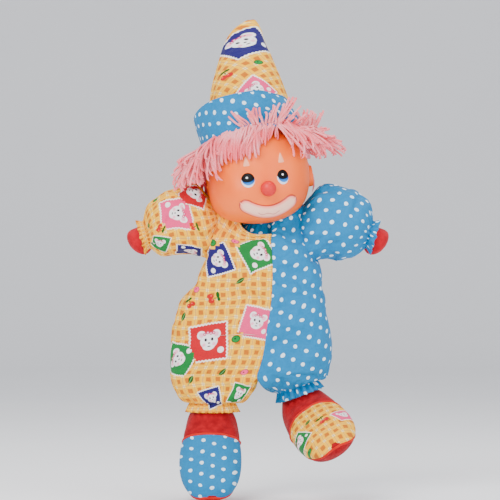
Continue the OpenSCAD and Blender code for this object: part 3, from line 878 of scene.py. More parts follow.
def pleat(points, centre, angle, count, amount, seed):
    """Pushes points in and out from an upright axis in soft uneven pleats."""
    r = np.random.default_rng(seed)
    phase = r.uniform(0, TAU, 3)
    wave = np.sin(count * angle + 0.8 * np.sin(3 * angle + phase[0]) + 0.5 * np.sin(7 * angle + phase[1]))
    wave = wave * (0.75 + 0.25 * np.sin(2 * angle + phase[2]))
    level = np.array([1, 1, 0])
    return points + outward(points * level, centre * level) * (wave * amount)[:, None]


def suit_half(side):
    rows, pins = [], []
    idle = np.zeros((INNER, 3))
    neck = np.array([NECK[0], BODY_Y, 0])
    span = np.linspace(0, math.pi, OUTER + 1)
    free = np.ones(OUTER + 1)
    free[[0, -1]] = 0
    for share in np.linspace(1, 0, SHOULDER_ROWS + 1)[:-1]:
        ring = shoulder_ring(side, share)
        ring = pleat(ring, neck, span, 26, 1.3 * share**1.5 * free, 5 + side)
        rows.append(np.concatenate([idle, ring, idle[1:]]))
        pins.append(share == 1)
    for z in np.linspace(56, CROTCH, 42)[:-1]:
        rows.append(np.concatenate([idle, body_ring(side, z), idle[1:]]))
        pins.append(False)
    body_rows = len(rows)
    centre, roll, radius = LEGS[side]
    for turn in np.linspace(0, math.pi / 2, 17):
        ring, angle = leg_ring(side, turn)
        gathered = smooth(0.55, 1.0, math.sin(turn))
        rows.append(pleat(ring, centre, angle, 22, 2.0 * gathered, 8 + side))
        pins.append(False)
    gather = len(rows) - 1
    along = spin("Y", roll) @ (0, 0, -1)
    base = rows[-1].copy()
    for k in np.linspace(0, 1, 5)[1:]:
        flare = base + along * 7.5 * k + outward(base, centre) * 3.4 * k**0.8
        rows.append(pleat(flare, centre, angle, 17, 1.2 * k, 21 + side))
    pts = np.array(rows)

    # the print: u round the body from the front seam, v up the front
    u = np.zeros((len(rows), COLUMNS + 1))
    for r in range(len(rows)):
        total = lengths_round(pts[min(max(r, SHOULDER_ROWS), body_rows)])
        u[r] = total - total[INNER]
    v = -lengths_along(pts[:, INNER + 4: INNER + 34])
    uv = np.stack([u, np.repeat(v[:, None], COLUMNS + 1, axis=1)], axis=2)

    def keep(r, c):
        if r < body_rows and not INNER <= c < INNER + OUTER:
            return False
        middle = (pts[r][c] + pts[r + 1][(c + 1) % COLUMNS]) / 2
        return not (middle[1] > BODY_Y + 20 and (middle[0] / OPENING[0]) ** 2 + (middle[2] / OPENING[1]) ** 2 < 1)

    pin = np.zeros((len(rows), COLUMNS))
    pin[: body_rows + 1, [INNER, INNER + OUTER]] = 1
    pin[body_rows, :INNER] = pin[body_rows, INNER + OUTER:] = 1
    pin[0] = 1
    pin[gather] = 1
    pin[gather + 1:] = 0.6
    flat = pts.reshape(-1, 3)
    rim = (flat[:, 0] / OPENING[0]) ** 2 + (flat[:, 2] / OPENING[1]) ** 2
    pin = np.maximum(pin, ((flat[:, 1] > BODY_Y + 20) & (rim < 1.35)).reshape(pin.shape))
    obj = grid("suit_" + SIDES[side], pts, uv, wrap=True, flip=side > 0, keep=keep, pin=pin)
    simulate(obj, pressure=0.3, cap=5.5)
    return obj


SUIT_MOTIFS = [         # x, z, angle, size, design, colour, on the front of the yellow half
    (-38, 43, -72, 0.86, PATCH, "navy"), (-1, 45, -66, 0.98, PATCH, "green"),
    (-3, -16, -8, 0.95, PATCH, "pink"), (-45, -35, 8, 1.14, PATCH, "red"),
    (-48, 60, 0, 1.0, BUTTON, "green"), (-21.5, 59, -20, 0.9, BUTTON, "pink"),
    (-19.5, -32, 15, 1.0, BUTTON, "green"), (-17, 22.5, 38, 0.95, LEAF, "green"),
    (-33.5, -60.5, 70, 1.0, LEAF, "green"), (-40, 5.5, -85, 1.05, CHERRY, "red"),
    (-43, -88, 14, 0.74, PATCH, "navy"), (-15, -85, -16, 0.62, PATCH, "green"),
    (-77, -52, 80, 0.95, PATCH, "green"), (-64, -68, 60, 0.9, LEAF, "green"), (-70, -8, 80, 0.9, LEAF, "green"),
    (-62, 22, 12, 0.9, BUTTON, "pink"), (-12, -60, 30, 0.9, BUTTON, "pink"), (-66, 4, 30, 0.9, CHERRY, "red"),
]
BACK_MOTIFS = [         # the same on its back
    (-30, 44, 20, 0.95, PATCH, "red"), (-62, 8, -35, 0.95, PATCH, "pink"), (-60, -52, 15, 1.0, PATCH, "navy"),
    (-18, -46, -60, 1.0, PATCH, "green"), (-50, -22, 0, 1.0, BUTTON, "green"), (-5, 34, 30, 0.9, LEAF, "green"),
    (-44, 26, 60, 1.0, CHERRY, "red"), (-38, -70, 10, 1.0, CHERRY, "red"), (-8, 58, 0, 0.9, BUTTON, "pink"),
]
suit_right, suit_left = suit_half(-1), suit_half(1)
print_motifs(
    suit_right,
    [(x, BODY_Y - 38, z, a, s, d, c) for x, z, a, s, d, c in SUIT_MOTIFS]
    + [(x, BODY_Y + 38, z, a, s, d, c) for x, z, a, s, d, c in BACK_MOTIFS],
    mirror=-1,
)
for obj, cloth in ((suit_right, GINGHAM), (suit_left, DOTS)):
    subdivide(obj)
    thicken(obj, 0.8)
    dress(obj, cloth)

# ---------------------------------------------------------------- head
TO_HEAD = spin("Y", -LEAN) @ spin("Z", TURN)
HEAD_ROWS = np.array([  # back y, back z, front y, front z, half width, in the head's own frame
    (13.4, -8, -13.4, -8, 13.4), (13.4, 5, -13.6, -1, 13.8), (17, 10, -25, -0.5, 22), (22, 14, -38, 2.0, 31.5),
    (25.5, 20, -47.5, 8.5, 39.2), (28, 27, -52, 16.0, 43), (29.5, 36, -54.3, 26, 45), (30, 44, -55, 37, 45.2),
    (29, 52, -54.2, 48, 44), (28, 58, -52.6, 57, 42.2), (25.5, 66, -49.4, 66, 39), (20.5, 74, -43.5, 74.5, 34),
    (11, 81.5, -33, 82, 24), (0, 85.5, -22, 86, 12.5), (-8, 86.8, -14, 87, 3),
])


def head_point(p):
    return turned(p, TO_HEAD, NECK)


def head_surface(rows=76, cols=112):
    share = np.linspace(0, 1, rows)
    keys = np.linspace(0, 1, len(HEAD_ROWS))
    out = []
    for by, bz, fy, fz, w in spline(keys, HEAD_ROWS, share):
        centre = (0, (by + fy) / 2, (bz + fz) / 2)
        out.append(oval(centre, (w, 0, 0), (0, (fy - by) / 2, (fz - bz) / 2), cols))
    pts = np.array(out)
    x, y, z = pts[..., 0], pts[..., 1], pts[..., 2]
    front = smooth(-5, -40, y)
    dent = lambda cx, cz, rx, rz: np.exp(-(((x - cx) / rx) ** 2) - ((z - cz) / rz) ** 2)
    push = 1.8 * (dent(27, 24, 13, 12) + dent(-27, 24, 13, 12)) - 1.7 * (dent(16, 41, 10, 9) + dent(-16, 41, 10, 9))
    push = push + 1.4 * dent(0, 3, 17, 7) - 1.1 * dent(0, 19, 20, 4) + 0.8 * dent(0, 9, 24, 7)
    pts[..., 1] -= push * front
    # the jaw is set a little to the puppet's right
    pts[..., 0] -= 3.6 * (1 - smooth(8, 62, pts[..., 2])) * smooth(-8, 6, pts[..., 2])
    return pts


HEAD = head_surface()
head = grid("head", head_point(HEAD), None, wrap=True, ends=(False, True))
subdivide(head)
dress(head, VINYL)

HEAD_LINES, HEAD_COLS = HEAD.shape[:2]
skull = BVHTree.FromPolygons(HEAD.reshape(-1, 3).tolist(), [
    (r * HEAD_COLS + c, r * HEAD_COLS + d, (r + 1) * HEAD_COLS + d, (r + 1) * HEAD_COLS + c)
    for r in range(HEAD_LINES - 1) for c, d in zip(range(HEAD_COLS), [*range(1, HEAD_COLS), 0])
])


def on_face(x, z):
    """Point and outward normal where a line along +Y meets the face, in the head's frame."""
    hit, normal, *_ = skull.ray_cast(Vector((x, -120, z)), Vector((0, 1, 0)))
    normal = np.array(normal)
    return np.array(hit), normal if normal[1] < 0 else -normal


def patch_on_face(name, cells, lifts, uv, material):
    """A thin raised shape that follows the face. cells holds (x, z) of each grid point."""
    pts = np.zeros(np.shape(lifts) + (3,))
    for r in range(pts.shape[0]):
        for c in range(pts.shape[1]):
            p, n = on_face(*cells[r][c])
            pts[r, c] = p + n * lifts[r][c]
    obj = grid(name, head_point(pts), uv)
    subdivide(obj)
    return dress(obj, material)


def eye(name, cx, cz, rx, rz):
    rings, around = 10, 40
    r = np.linspace(0.02, 1, rings)[:, None]
    a = np.linspace(0, TAU, around + 1)[None]
    x, z = r * rx * np.cos(a), r * rz * np.sin(a)
    lift = 1.5 * np.sqrt(np.clip(1 - r**2, 0, 1)) * np.ones_like(a) - 0.12
    uv = np.stack([x * EYE_SIZE[0] / rx, z * EYE_SIZE[1] / rz], -1)
    return patch_on_face(name, np.stack([cx + x, cz + z], -1), lift, uv, EYE)


def brow(name, cx):
    rows, cols = 8, 9
    t = np.linspace(0, 1, rows)[:, None]
    s = np.linspace(-1, 1, cols)[None]
    x = cx + s * (3.1 * (1 - t) ** 0.85 + 0.15)
    z = 50.0 + 9.4 * t + 0 * s
    lift = 0.12 + 0.3 * (1 - s**2) * np.sin(math.pi * np.clip(t, 0.04, 0.96)) ** 0.5
    lift[[0, -1]] = -0.1
    lift[:, [0, -1]] = -0.1
    return patch_on_face(name, np.stack([x, z], -1), lift, np.stack([x, z], -1), BROW)


def mouth_shape(name):
    length, half, steps, across = 19.2, 5.8, 64, 13
    out, lift, uv = [], [], []
    middle = np.linspace(-1, 1, steps) * (length + half - 0.05)
    for m in middle:
        over = max(0.0, abs(m) - length)
        width = half * math.sqrt(max(1e-4, 1 - (over / half) ** 2))
        x0 = math.copysign(min(abs(m), length + half), m)
        z0 = 9.0 + 6.6 * (x0 / length) ** 2
        slope = 2 * 6.6 * x0 / length**2
        normal = np.array([-slope, 1]) / math.hypot(1, slope)
        v = np.linspace(-1, 1, across)
        out.append([(x0 + normal[0] * width * k, z0 + normal[1] * width * k) for k in v])
        tall = np.sqrt(np.clip(1 - v**2, 0, 1)) * (width / half)
        lift.append(-0.25 + 1.7 * np.minimum(tall, 0.75) / 0.75)
        rim = np.hypot(v * width / half, over / half)
        uv.append([(x0, math.copysign(r, k)) for r, k in zip(rim, v)])
    return patch_on_face(name, out, np.array(lift), np.array(uv), MOUTH)


eye_right, eye_left = eye("eye_right", -16, 38.0, 6.0, 6.6), eye("eye_left", 14.8, 37.6, 5.4, 6.7)
brow_right, brow_left = brow("brow_right", -15.8), brow("brow_left", 15)
mouth = mouth_shape("mouth")


def ball(name, centre, size, material, rows=20, cols=36):
    a = np.linspace(0.04, math.pi - 0.04, rows)
    pts = [oval(centre + np.array([0, 0, size[2] * math.cos(t)]), (size[0] * math.sin(t), 0, 0),
                (0, size[1] * math.sin(t), 0), cols) for t in a]
    obj = grid(name, head_point(np.array(pts)), None, wrap=True, flip=True, ends=(True, True))
    return dress(obj, material)


tip, out_of_face = on_face(0, 29)
nose = ball("nose", tip + out_of_face * 3.4, (6.9, 6.6, 6.9), NOSE)
ears = []
for side in (-1, 1):
    rows = []
    for t in np.linspace(0, 1, 10):       # a shallow cup of vinyl with a rolled rim
        grow = math.sin(t * math.pi / 2)
        depth = 2.6 * (1 - t) ** 0.5 - 2.2 * math.exp(-((t - 0.35) / 0.22) ** 2) + 0.6
        rows.append(oval((side * (45.2 + depth), -8, 37), (0, -6.6 * grow - 0.2, 0), (0, 0, 9.2 * grow + 0.2), 32))
    rows.append(oval((side * 42, -8, 37), (0, -7.2, 0), (0, 0, 9.8), 32))
    ear = grid("ear_" + SIDES[side], head_point(np.array(rows)), None, wrap=True,
               flip=side > 0, ends=(True, False))
    subdivide(ear)
    ears.append(dress(ear, VINYL))


# ---------------------------------------------------------------- hat
HAT_PITCH = math.radians(21)
HAT_Y, HAT_Z = -10.0, 69.0       # the middle of the hat's lower edge, in the head's frame
CONE = np.array([       # x, z, half width, half depth
    (-0.5, 69, 43.0, 42.2), (-0.6, 78, 40.6, 39.0), (-0.6, 92, 38.6, 35.0), (-0.8, 113, 34.6, 29.0),
    (0.6, 134, 29.2, 22.5), (2.6, 150, 23.8, 17.6), (4.6, 163, 18.6, 13.6), (7.0, 171, 15.0, 10.6),
    (10.0, 178, 9.6, 7.0), (13.6, 182.5, 3.6, 2.8),
])
BRIM = np.array([(-0.5, 69, 45.6, 45.0), (-1.6, 76, 45.6, 45.4), (-4.4, 87, 44.6, 46.4), (-7.6, 98.5, 42.8, 47.6)])


def hat_ring(x, z, w, d, cols):
    y = HAT_Y + (z - HAT_Z) * 0.34
    lift = np.array([0, math.cos(HAT_PITCH), -math.sin(HAT_PITCH)])
    return oval((x, y, z), (w, 0, 0), lift * d, cols)


def hat_rows(table, count, cols):
    z = np.linspace(table[0, 1], table[-1, 1], count)
    rest = spline(table[:, 1], np.delete(table, 1, axis=1), z)
    return np.array([hat_ring(x, h, w, d, cols) for h, (x, w, d) in zip(z, rest)])


def cone_uv(pts):
    """Flat-pattern coordinates of the hat's cone: polar about its tip, so the print isn't stretched."""
    slant = lengths_along(pts[::-1])[::-1]
    out = np.zeros((pts.shape[0], pts.shape[1] + 1, 2))
    spread = lengths_round(pts[0])[-1] / slant[0]
    angle = np.linspace(-0.5, 0.5, pts.shape[1] + 1) * spread
    for r in range(len(pts)):
        out[r, :, 0] = np.sin(angle) * slant[r]
        out[r, :, 1] = -np.cos(angle) * slant[r]
    return out


def folded(row, steps):
    """Rows of an edge that is turned in: each step grows the row by a share and lifts it."""
    return np.array([row + (row - row.mean(axis=0)) * grow + (0, 0, lift) for grow, lift in steps])


cols = 120
cone = np.roll(hat_rows(CONE, 44, cols), -cols // 4, axis=1)       # the seam is behind
cone = creased(cone, 1.0, 2.6, 5.0, 31)
hat_cone = grid("hat_cone", head_point(cone), cone_uv(cone), wrap=True, ends=(False, True))
t = np.linspace(0, 1, 13)[:, None]
brim = np.roll(hat_rows(BRIM, 13, cols), -cols // 4, axis=1)
brim = creased(brim, 0.9, 2.2, 1.5, 47)
angle = np.linspace(0, TAU, cols, endpoint=False)[None]
sag = wander(np.cos(angle) * 1.6 + 0 * t, np.sin(angle) * 1.6 + 0 * t, 9)
brim[..., 2] += sag * 1.6 * t
hat_brim = grid("hat_brim", head_point(brim), ring_uv(brim, 6), wrap=True)
# the band's folded edge is turned in and sewn to the cone
lip = folded(brim[-1], ((0.0, 0.0), (0.006, 0.9), (-0.01, 1.5), (-0.03, 0.8), (-0.04, -1.6)))
hat_lip = grid("hat_brim_edge", head_point(lip), ring_uv(lip, 0), wrap=True)
under = folded(brim[0], ((0.0, 0.0), (-0.004, -1.1), (-0.03, -1.6), (-0.06, -0.4), (-0.07, 2.6)))
hat_roll = grid("hat_brim_roll", head_point(under), ring_uv(under, 0), wrap=True, flip=True)
HAT_MOTIFS = [          # x, y, z of the head's frame
    (-0.5, -6, 170, 34, 0.95, PATCH, "navy"), (-24, -14, 140, 0, 1.0, CHERRY, "red"),
    (6, -30, 118, 52, 0.85, PATCH, "pink"), (-31, -30, 104, -10, 0.7, PATCH, "red"),
    (20, 25, 110, 20, 0.9, PATCH, "green"), (-20, 28, 110, -30, 0.9, PATCH, "red"), (0, 30, 135, 0, 1.0, CHERRY, "red"),
    (-10, -36, 104, 40, 0.9, LEAF, "green"), (14, -14, 148, 10, 0.8, BUTTON, "green"),
    (36, 0, 100, 10, 0.9, LEAF, "green"), (-36, 14, 100, 10, 0.9, BUTTON, "pink"),
]
print_motifs(hat_cone, [(*head_point([m[:3]])[0], *m[3:]) for m in HAT_MOTIFS])
for obj, cloth in ((hat_cone, HAT_GINGHAM), (hat_brim, DOTS), (hat_lip, DOTS), (hat_roll, DOTS)):
    subdivide(obj)
    dress(obj, cloth)
thicken(hat_brim, 0.9)


# ---------------------------------------------------------------- hair
SKULL_Y = -12                    # the head's middle, front to back


def clear_of_head(p, gap):
    """Moves a point of the head's frame out to at least the gap from the face."""
    near = np.array(skull.find_nearest(Vector(p))[0])
    away = np.array(p) - near
    way = near - (0, SKULL_Y, 40)
    distance = np.linalg.norm(away) * (1 if away.dot(way) > 0 else -1)
    if distance >= gap:
        return p
    return near + way / np.linalg.norm(way) * gap


def lock(root, end, bulge, droop, gap, r):
    """One strand: leaves its root outward, arches and falls to its end."""
    root, end = np.array(root, float), np.array(end, float)
    out = root - (0, SKULL_Y, root[2])
    out /= max(np.linalg.norm(out), 1e-6)
    reach = np.linalg.norm(end - root)
    a = root + out * reach * bulge + r.normal(0, 0.8, 3)
    b = end + np.array([0, 0, reach * droop]) + out * reach * bulge * 0.7 + r.normal(0, 0.8, 3)
    t = np.linspace(0, 1, 11)[:, None]
    path = (1 - t) ** 3 * root + 3 * (1 - t) ** 2 * t * a + 3 * (1 - t) * t**2 * b + t**3 * end
    wave = r.normal(0, 1, 3) * 0.9
    path = path + np.sin(t * math.pi * r.uniform(1, 2.4)) * wave
    return np.array([path[0]] + [clear_of_head(p, gap) for p in path[1:]])


def brim_root(angle, depth=0.94, rise=2.0):
    """A point just inside the hat's lower edge. Angle 0 is the front, 90 the puppet's left."""
    a = math.radians(angle)
    forward = 42.4 * depth * math.cos(a)
    return np.array([-0.5 + 43.2 * depth * math.sin(a), HAT_Y - forward * math.cos(HAT_PITCH),
                     HAT_Z + rise + forward * math.sin(HAT_PITCH)])


def head_end(angle, z, out):
    """A point at a height, the given distance outside the head, in a direction round it."""
    a = math.radians(angle)
    way = Vector((math.sin(a), -math.cos(a), 0))
    middle = Vector((0, SKULL_Y, z))
    hit = skull.ray_cast(middle + way * 120, -way)[0]
    hit = np.array(hit) if hit else np.array(middle) + np.array(way) * 30
    return hit + np.array(way) * out


def hair(name, count, seed, make):
    r = np.random.default_rng(seed)
    paths, radii = [], []
    for i in range(count):
        paths.append(head_point(make(r, (i + 0.5) / count)))
        radii.append(r.uniform(0.8, 1.12))
    return strands(name, paths, radii, YARN)


def bangs(r, s):
    """The fringe: it parts above the left eye and hangs lower towards the puppet's right."""
    a = -60 + 80 * s + r.normal(0, 3.0)
    low = 48 + 8 * smooth(-62, -20, a) + 15 * smooth(-12, 16, a)
    end = head_end(a * 1.12 - 12 + r.normal(0, 7), low + 13 * r.uniform(0, 1) ** 1.5, r.uniform(1.2, 5))
    return lock(brim_root(a, 0.97), end, r.uniform(0.1, 0.26), r.uniform(0.1, 0.4), r.uniform(1.2, 3.6), r)


def bunch_right(r, s):
    """The puppet's right bunch splays down and out over the shoulder."""
    a = -118 + 60 * s + r.normal(0, 4)
    out = 4 + 28 * r.uniform(0, 1) ** 1.3
    end = head_end(a * 0.94 + r.normal(0, 9), r.uniform(40, 68) - 0.14 * out, out)
    root = brim_root(a, 0.97, r.uniform(0, 4))
    return lock(root, end, r.uniform(0.1, 0.3), r.uniform(-0.05, 0.15), r.uniform(1.5, 5), r)


def bunch_left(r, s):
    """The puppet's left bunch sweeps straight out from the head."""
    a = 24 + 92 * s + r.normal(0, 4)
    out = (5 + 30 * r.uniform(0, 1) ** 0.9) * (0.5 + 0.5 * min(1, s * 2.4))
    end = head_end(a * 0.95 + 10 + r.normal(0, 9), r.uniform(52, 96) - 0.05 * out, out)
    root = brim_root(a, 0.97, r.uniform(0, 5))
    return lock(root, end, r.uniform(0.12, 0.3), r.uniform(-0.12, 0.1), r.uniform(1.5, 6), r)


def nape(r, s):
    """The back hair hangs short, all round from ear to ear."""
    a = 116 + 128 * s + r.normal(0, 3)
    end = head_end(a + r.normal(0, 5), r.uniform(20, 40), r.uniform(2, 9))
    return lock(brim_root(a, 0.97, 3), end, r.uniform(0.1, 0.3), r.uniform(0.1, 0.3), r.uniform(1.3, 5), r)


def stray(r, s):
    """Cut ends that stand up over the brim, longest towards the puppet's left."""
    a = -36 + 84 * s + r.normal(0, 5)
    root = brim_root(a * 0.62 + 4, 1.0)
    spread = math.radians(a * 0.95 + r.normal(0, 8))
    reach = r.uniform(11, 22) + 22 * smooth(0.62, 0.95, s) * r.uniform(0.2, 1)
    end = root + np.array([math.sin(spread) * reach, -3.5 - r.uniform(0, 3), math.cos(spread) * reach * 0.75])
    return lock(root, end, 0.2, 0.05, 1.0, r)


hair_fringe = hair("hair_fringe", 180, 3, bangs)
hair_right = hair("hair_right", 170, 4, bunch_right)
hair_left = hair("hair_left", 260, 5, bunch_left)
hair_back = hair("hair_back", 230, 6, nape)
hair_stray = hair("hair_stray", 34, 7, stray)


# ---------------------------------------------------------------- arms
ARM_ROWS = np.array([   # s along the arm, rise, half height, half depth
    (-39, -3, 3, 3), (-38, -3, 8, 7), (-35, -2.6, 16, 14), (-30, -2.0, 25, 20), (-25, -1.4, 31.5, 24.5),
    (-20, -0.6, 34, 26.6), (-12, 1.6, 33.8, 27.6), (-3, 3.5, 32.4, 28.0), (6, 4.2, 30.8, 27.5), (14, 3.0, 28.0, 25.5),
    (20, 1.2, 23.4, 21.4), (24.5, -0.4, 17.2, 16.4), (28, -1.5, 11.4, 11.4),
])
MITT_ROWS = np.array([(-7.4, 7.4, 7.4), (-4.5, 9.0, 9.0), (0, 10, 10), (4, 11.2, 10.6), (9, 13.0, 11.4),
                      (13, 12.6, 10.6), (16, 9.4, 8.0), (17.8, 5.6, 4.6), (18.6, 1.0, 0.8)])
WRIST = 30


def arm_turn(side):
    mirror = np.diag([1 if side < 0 else -1, 1, 1])
    return mirror @ spin("Y", -math.pi / 2 - DROOP), mirror


def arm_point(p, side):
    turn, mirror = arm_turn(side)
    return turned(p, turn, mirror @ place("shoulder_right"))


def wrist_point(p, side):
    bend = spin("X", math.radians(-28)) @ spin("Y", math.radians(-25))
    return arm_point(turned(p, bend, np.array([-1.5, 0, WRIST - 1.5])), side)


def sleeve(side):
    cols = 112
    angle = np.linspace(0, TAU, cols, endpoint=False)
    rows, pins = [], []
    for s in np.concatenate([[-39, -38, -36, -33, -30, -27.5], np.linspace(-25, 28, 25)]):
        rise, h, d = spline(ARM_ROWS[:, 0], ARM_ROWS[:, 1:], s)[0]
        rise -= (4.5 if side > 0 else 0) * (1 - smooth(8, 25, s))
        ring = oval((rise, 0, s), (h, 0, 0), (0, d, 0), cols)
        gathered = smooth(14, 28, s)
        head_pleats = smooth(-6, -22, s) * smooth(-36, -30, s)
        wave = np.sin(20 * angle + 0.9 * np.sin(3 * angle + side)) * (1.9 * gathered)
        wave = wave + np.sin(13 * angle + 0.7 * np.sin(2 * angle)) * 1.5 * head_pleats
        rows.append(ring + outward(ring, (rise, 0, s)) * wave[:, None])
        pins.append(1.0 if s < -29 or s > 27.9 else 0.0)
    base_h, base_s = 11.4, 28
    for k in np.linspace(0, 1, 5)[1:]:
        r = base_h + 3.6 * k**0.8
        ring = oval((-1.5 - 1.0 * k, 0, base_s + 6.0 * k), (r, 0, 0), (0, r, 0), cols)
        wave = np.sin(15 * angle + 0.8 * np.sin(2 * angle + side)) * 1.2 * k
        dip = (0, 0, 1) * (np.sin(11 * angle) * 0.5 * k)[:, None]
        rows.append(ring + outward(ring, ring.mean(axis=0)) * wave[:, None] + dip)
        pins.append(0.6)
    pts = np.array(rows)
    uv = ring_uv(pts, 12)
    uv[..., 1] *= -1
    pin = np.repeat(np.array(pins)[:, None], cols, axis=1)
    obj = grid("sleeve_" + SIDES[side], arm_point(pts, side), uv, wrap=True, flip=side > 0, pin=pin)
    simulate(obj, pressure=0.5, cap=5.0)
    return obj


def mitten(side):
    s = np.linspace(MITT_ROWS[0, 0], MITT_ROWS[-1, 0], 30)
    hd = spline(MITT_ROWS[:, 0], MITT_ROWS[:, 1:], s)
    pts = np.array([oval((0, 0, a), (h, 0, 0), (0, d, 0), 48) for a, (h, d) in zip(s, hd)])
    seam = np.exp(-((np.abs(np.sin(np.linspace(0, TAU, 48, endpoint=False))) / 0.12) ** 2))[None, :, None]
    mid = pts.mean(axis=1, keepdims=True)
    pts = mid + (pts - mid) * (1 - 0.035 * seam)
    pts = creased(pts, 0.35, 2.0, 3.0, 61 + side)
    obj = grid("mitten_" + SIDES[side], wrist_point(pts, side), ring_uv(pts, 14), wrap=True, flip=side > 0,
               ends=(True, True))
    subdivide(obj)
    return dress(obj, MITT_RED)


def band(name, pts, material):
    """A closed ribbed band of a few rows."""
    obj = grid(name, pts, ring_uv(pts, 0), wrap=True)
    subdivide(obj)
    return dress(obj, material)


def ring_band(r, half_width, thick, cols=72):
    """Rows of a flat elastic ring in its own XY plane."""
    section = ((0, -1), (thick, -0.8), (thick, 0.8), (0, 1), (0, -1))
    return np.array([oval((0, 0, half_width * h), (r + k, 0, 0), (0, r + k, 0), cols) for k, h in section])


sleeve_right, sleeve_left = sleeve(-1), sleeve(1)
SLEEVE_MOTIFS = [       # s, rise, depth (forward is negative), angle, size, design, colour
    (-3, 9, -26, 8, 1.0, PATCH, "pink"), (18, -12, -18, -62, 0.66, PATCH, "green"),
    (-21, 24, -20, 24, 0.9, PATCH, "red"), (11, 26, -10, 20, 0.9, BUTTON, "green"),
    (13, 0, -26, 30, 0.85, CHERRY, "red"), (-5, -27, -14, 12, 0.72, PATCH, "navy"),
    (-14, -8, -28, -10, 0.8, CHERRY, "red"), (22, 6, -17, 0, 0.7, LEAF, "green"),
    (0, 10, 28, 20, 0.9, PATCH, "navy"), (-6, -22, 20, 0, 0.9, CHERRY, "red"),
    (14, -20, 14, 30, 0.9, BUTTON, "pink"), (4, 34, 6, 0, 0.8, LEAF, "green"),
]
print_motifs(sleeve_right, [(*arm_point([(x, d, s)], -1)[0], a, k, w, c) for s, x, d, a, k, w, c in SLEEVE_MOTIFS])
mittens, wrist_bands = [], []
for side, obj, cloth in ((-1, sleeve_right, GINGHAM), (1, sleeve_left, DOTS)):
    subdivide(obj)
    thicken(obj, 0.8)
    dress(obj, cloth)
    mittens.append(mitten(side))
    ring = ring_band(10.2, 3.0, 0.7) + (-1.5, 0, 28)
    wrist_bands.append(band("wrist_band_" + SIDES[side], arm_point(ring, side), ELASTIC))


# ---------------------------------------------------------------- feet
FOOT_ROWS = np.array([  # y, z, pitch, half width, half thickness, about the ankle
    (-43.6, -69.2, 52, 4, 2.4), (-43.0, -68.4, 52, 10, 6), (-41.2, -66.6, 52, 15, 9.4), (-36.2, -62, 50, 20.6, 13.6),
    (-27.5, -53.0, 46, 25.6, 17.6), (-17, -40, 40, 27.4, 20.2), (-6.5, -24, 26, 26.4, 21.4), (-2, -13, 10, 24.4, 21.2),
    (0, -5, 0, 22.6, 20.6), (0, 1, 0, 20.4, 19.2), (0, 8, 0, 16.4, 16.4), (0, 13, 0, 13, 13), (0, 16.5, 0, 8, 8),
])


def foot_point(p, side):
    turn = np.eye(3)
    if side > 0:
        turn = spin("Y", -HEM_ROLL) @ spin("X", -LEFT_PITCH) @ spin("Y", HEM_ROLL - LEFT_SPLAY)
    return turned(p, turn, place("ankle_" + SIDES[side]))


def foot_ring(row, cols):
    y, z, pitch, w, t = row
    p = math.radians(pitch)
    return oval((0, y, z), (w, 0, 0), (0, math.cos(p) * t, math.sin(p) * t * -1), cols)


TOE_MOTIFS = [          # x, z, angle, size, design, colour
    (60, -110, 10, 1.0, CHERRY, "red"), (45, -121, 30, 0.62, PATCH, "green"), (74, -96, 20, 0.55, PATCH, "pink"),
    (60, -133, 0, 0.7, BUTTON, "green"), (42, -101, 30, 0.8, LEAF, "green"),
]
CAP_ROW = 6             # the toe cap starts at this row
CAP_FROM, CAP_TO = 152, 388    # its angles round the foot; the sole has the rest
FOOT_ROUND = 96
FOOT_STEP = 360 / FOOT_ROUND


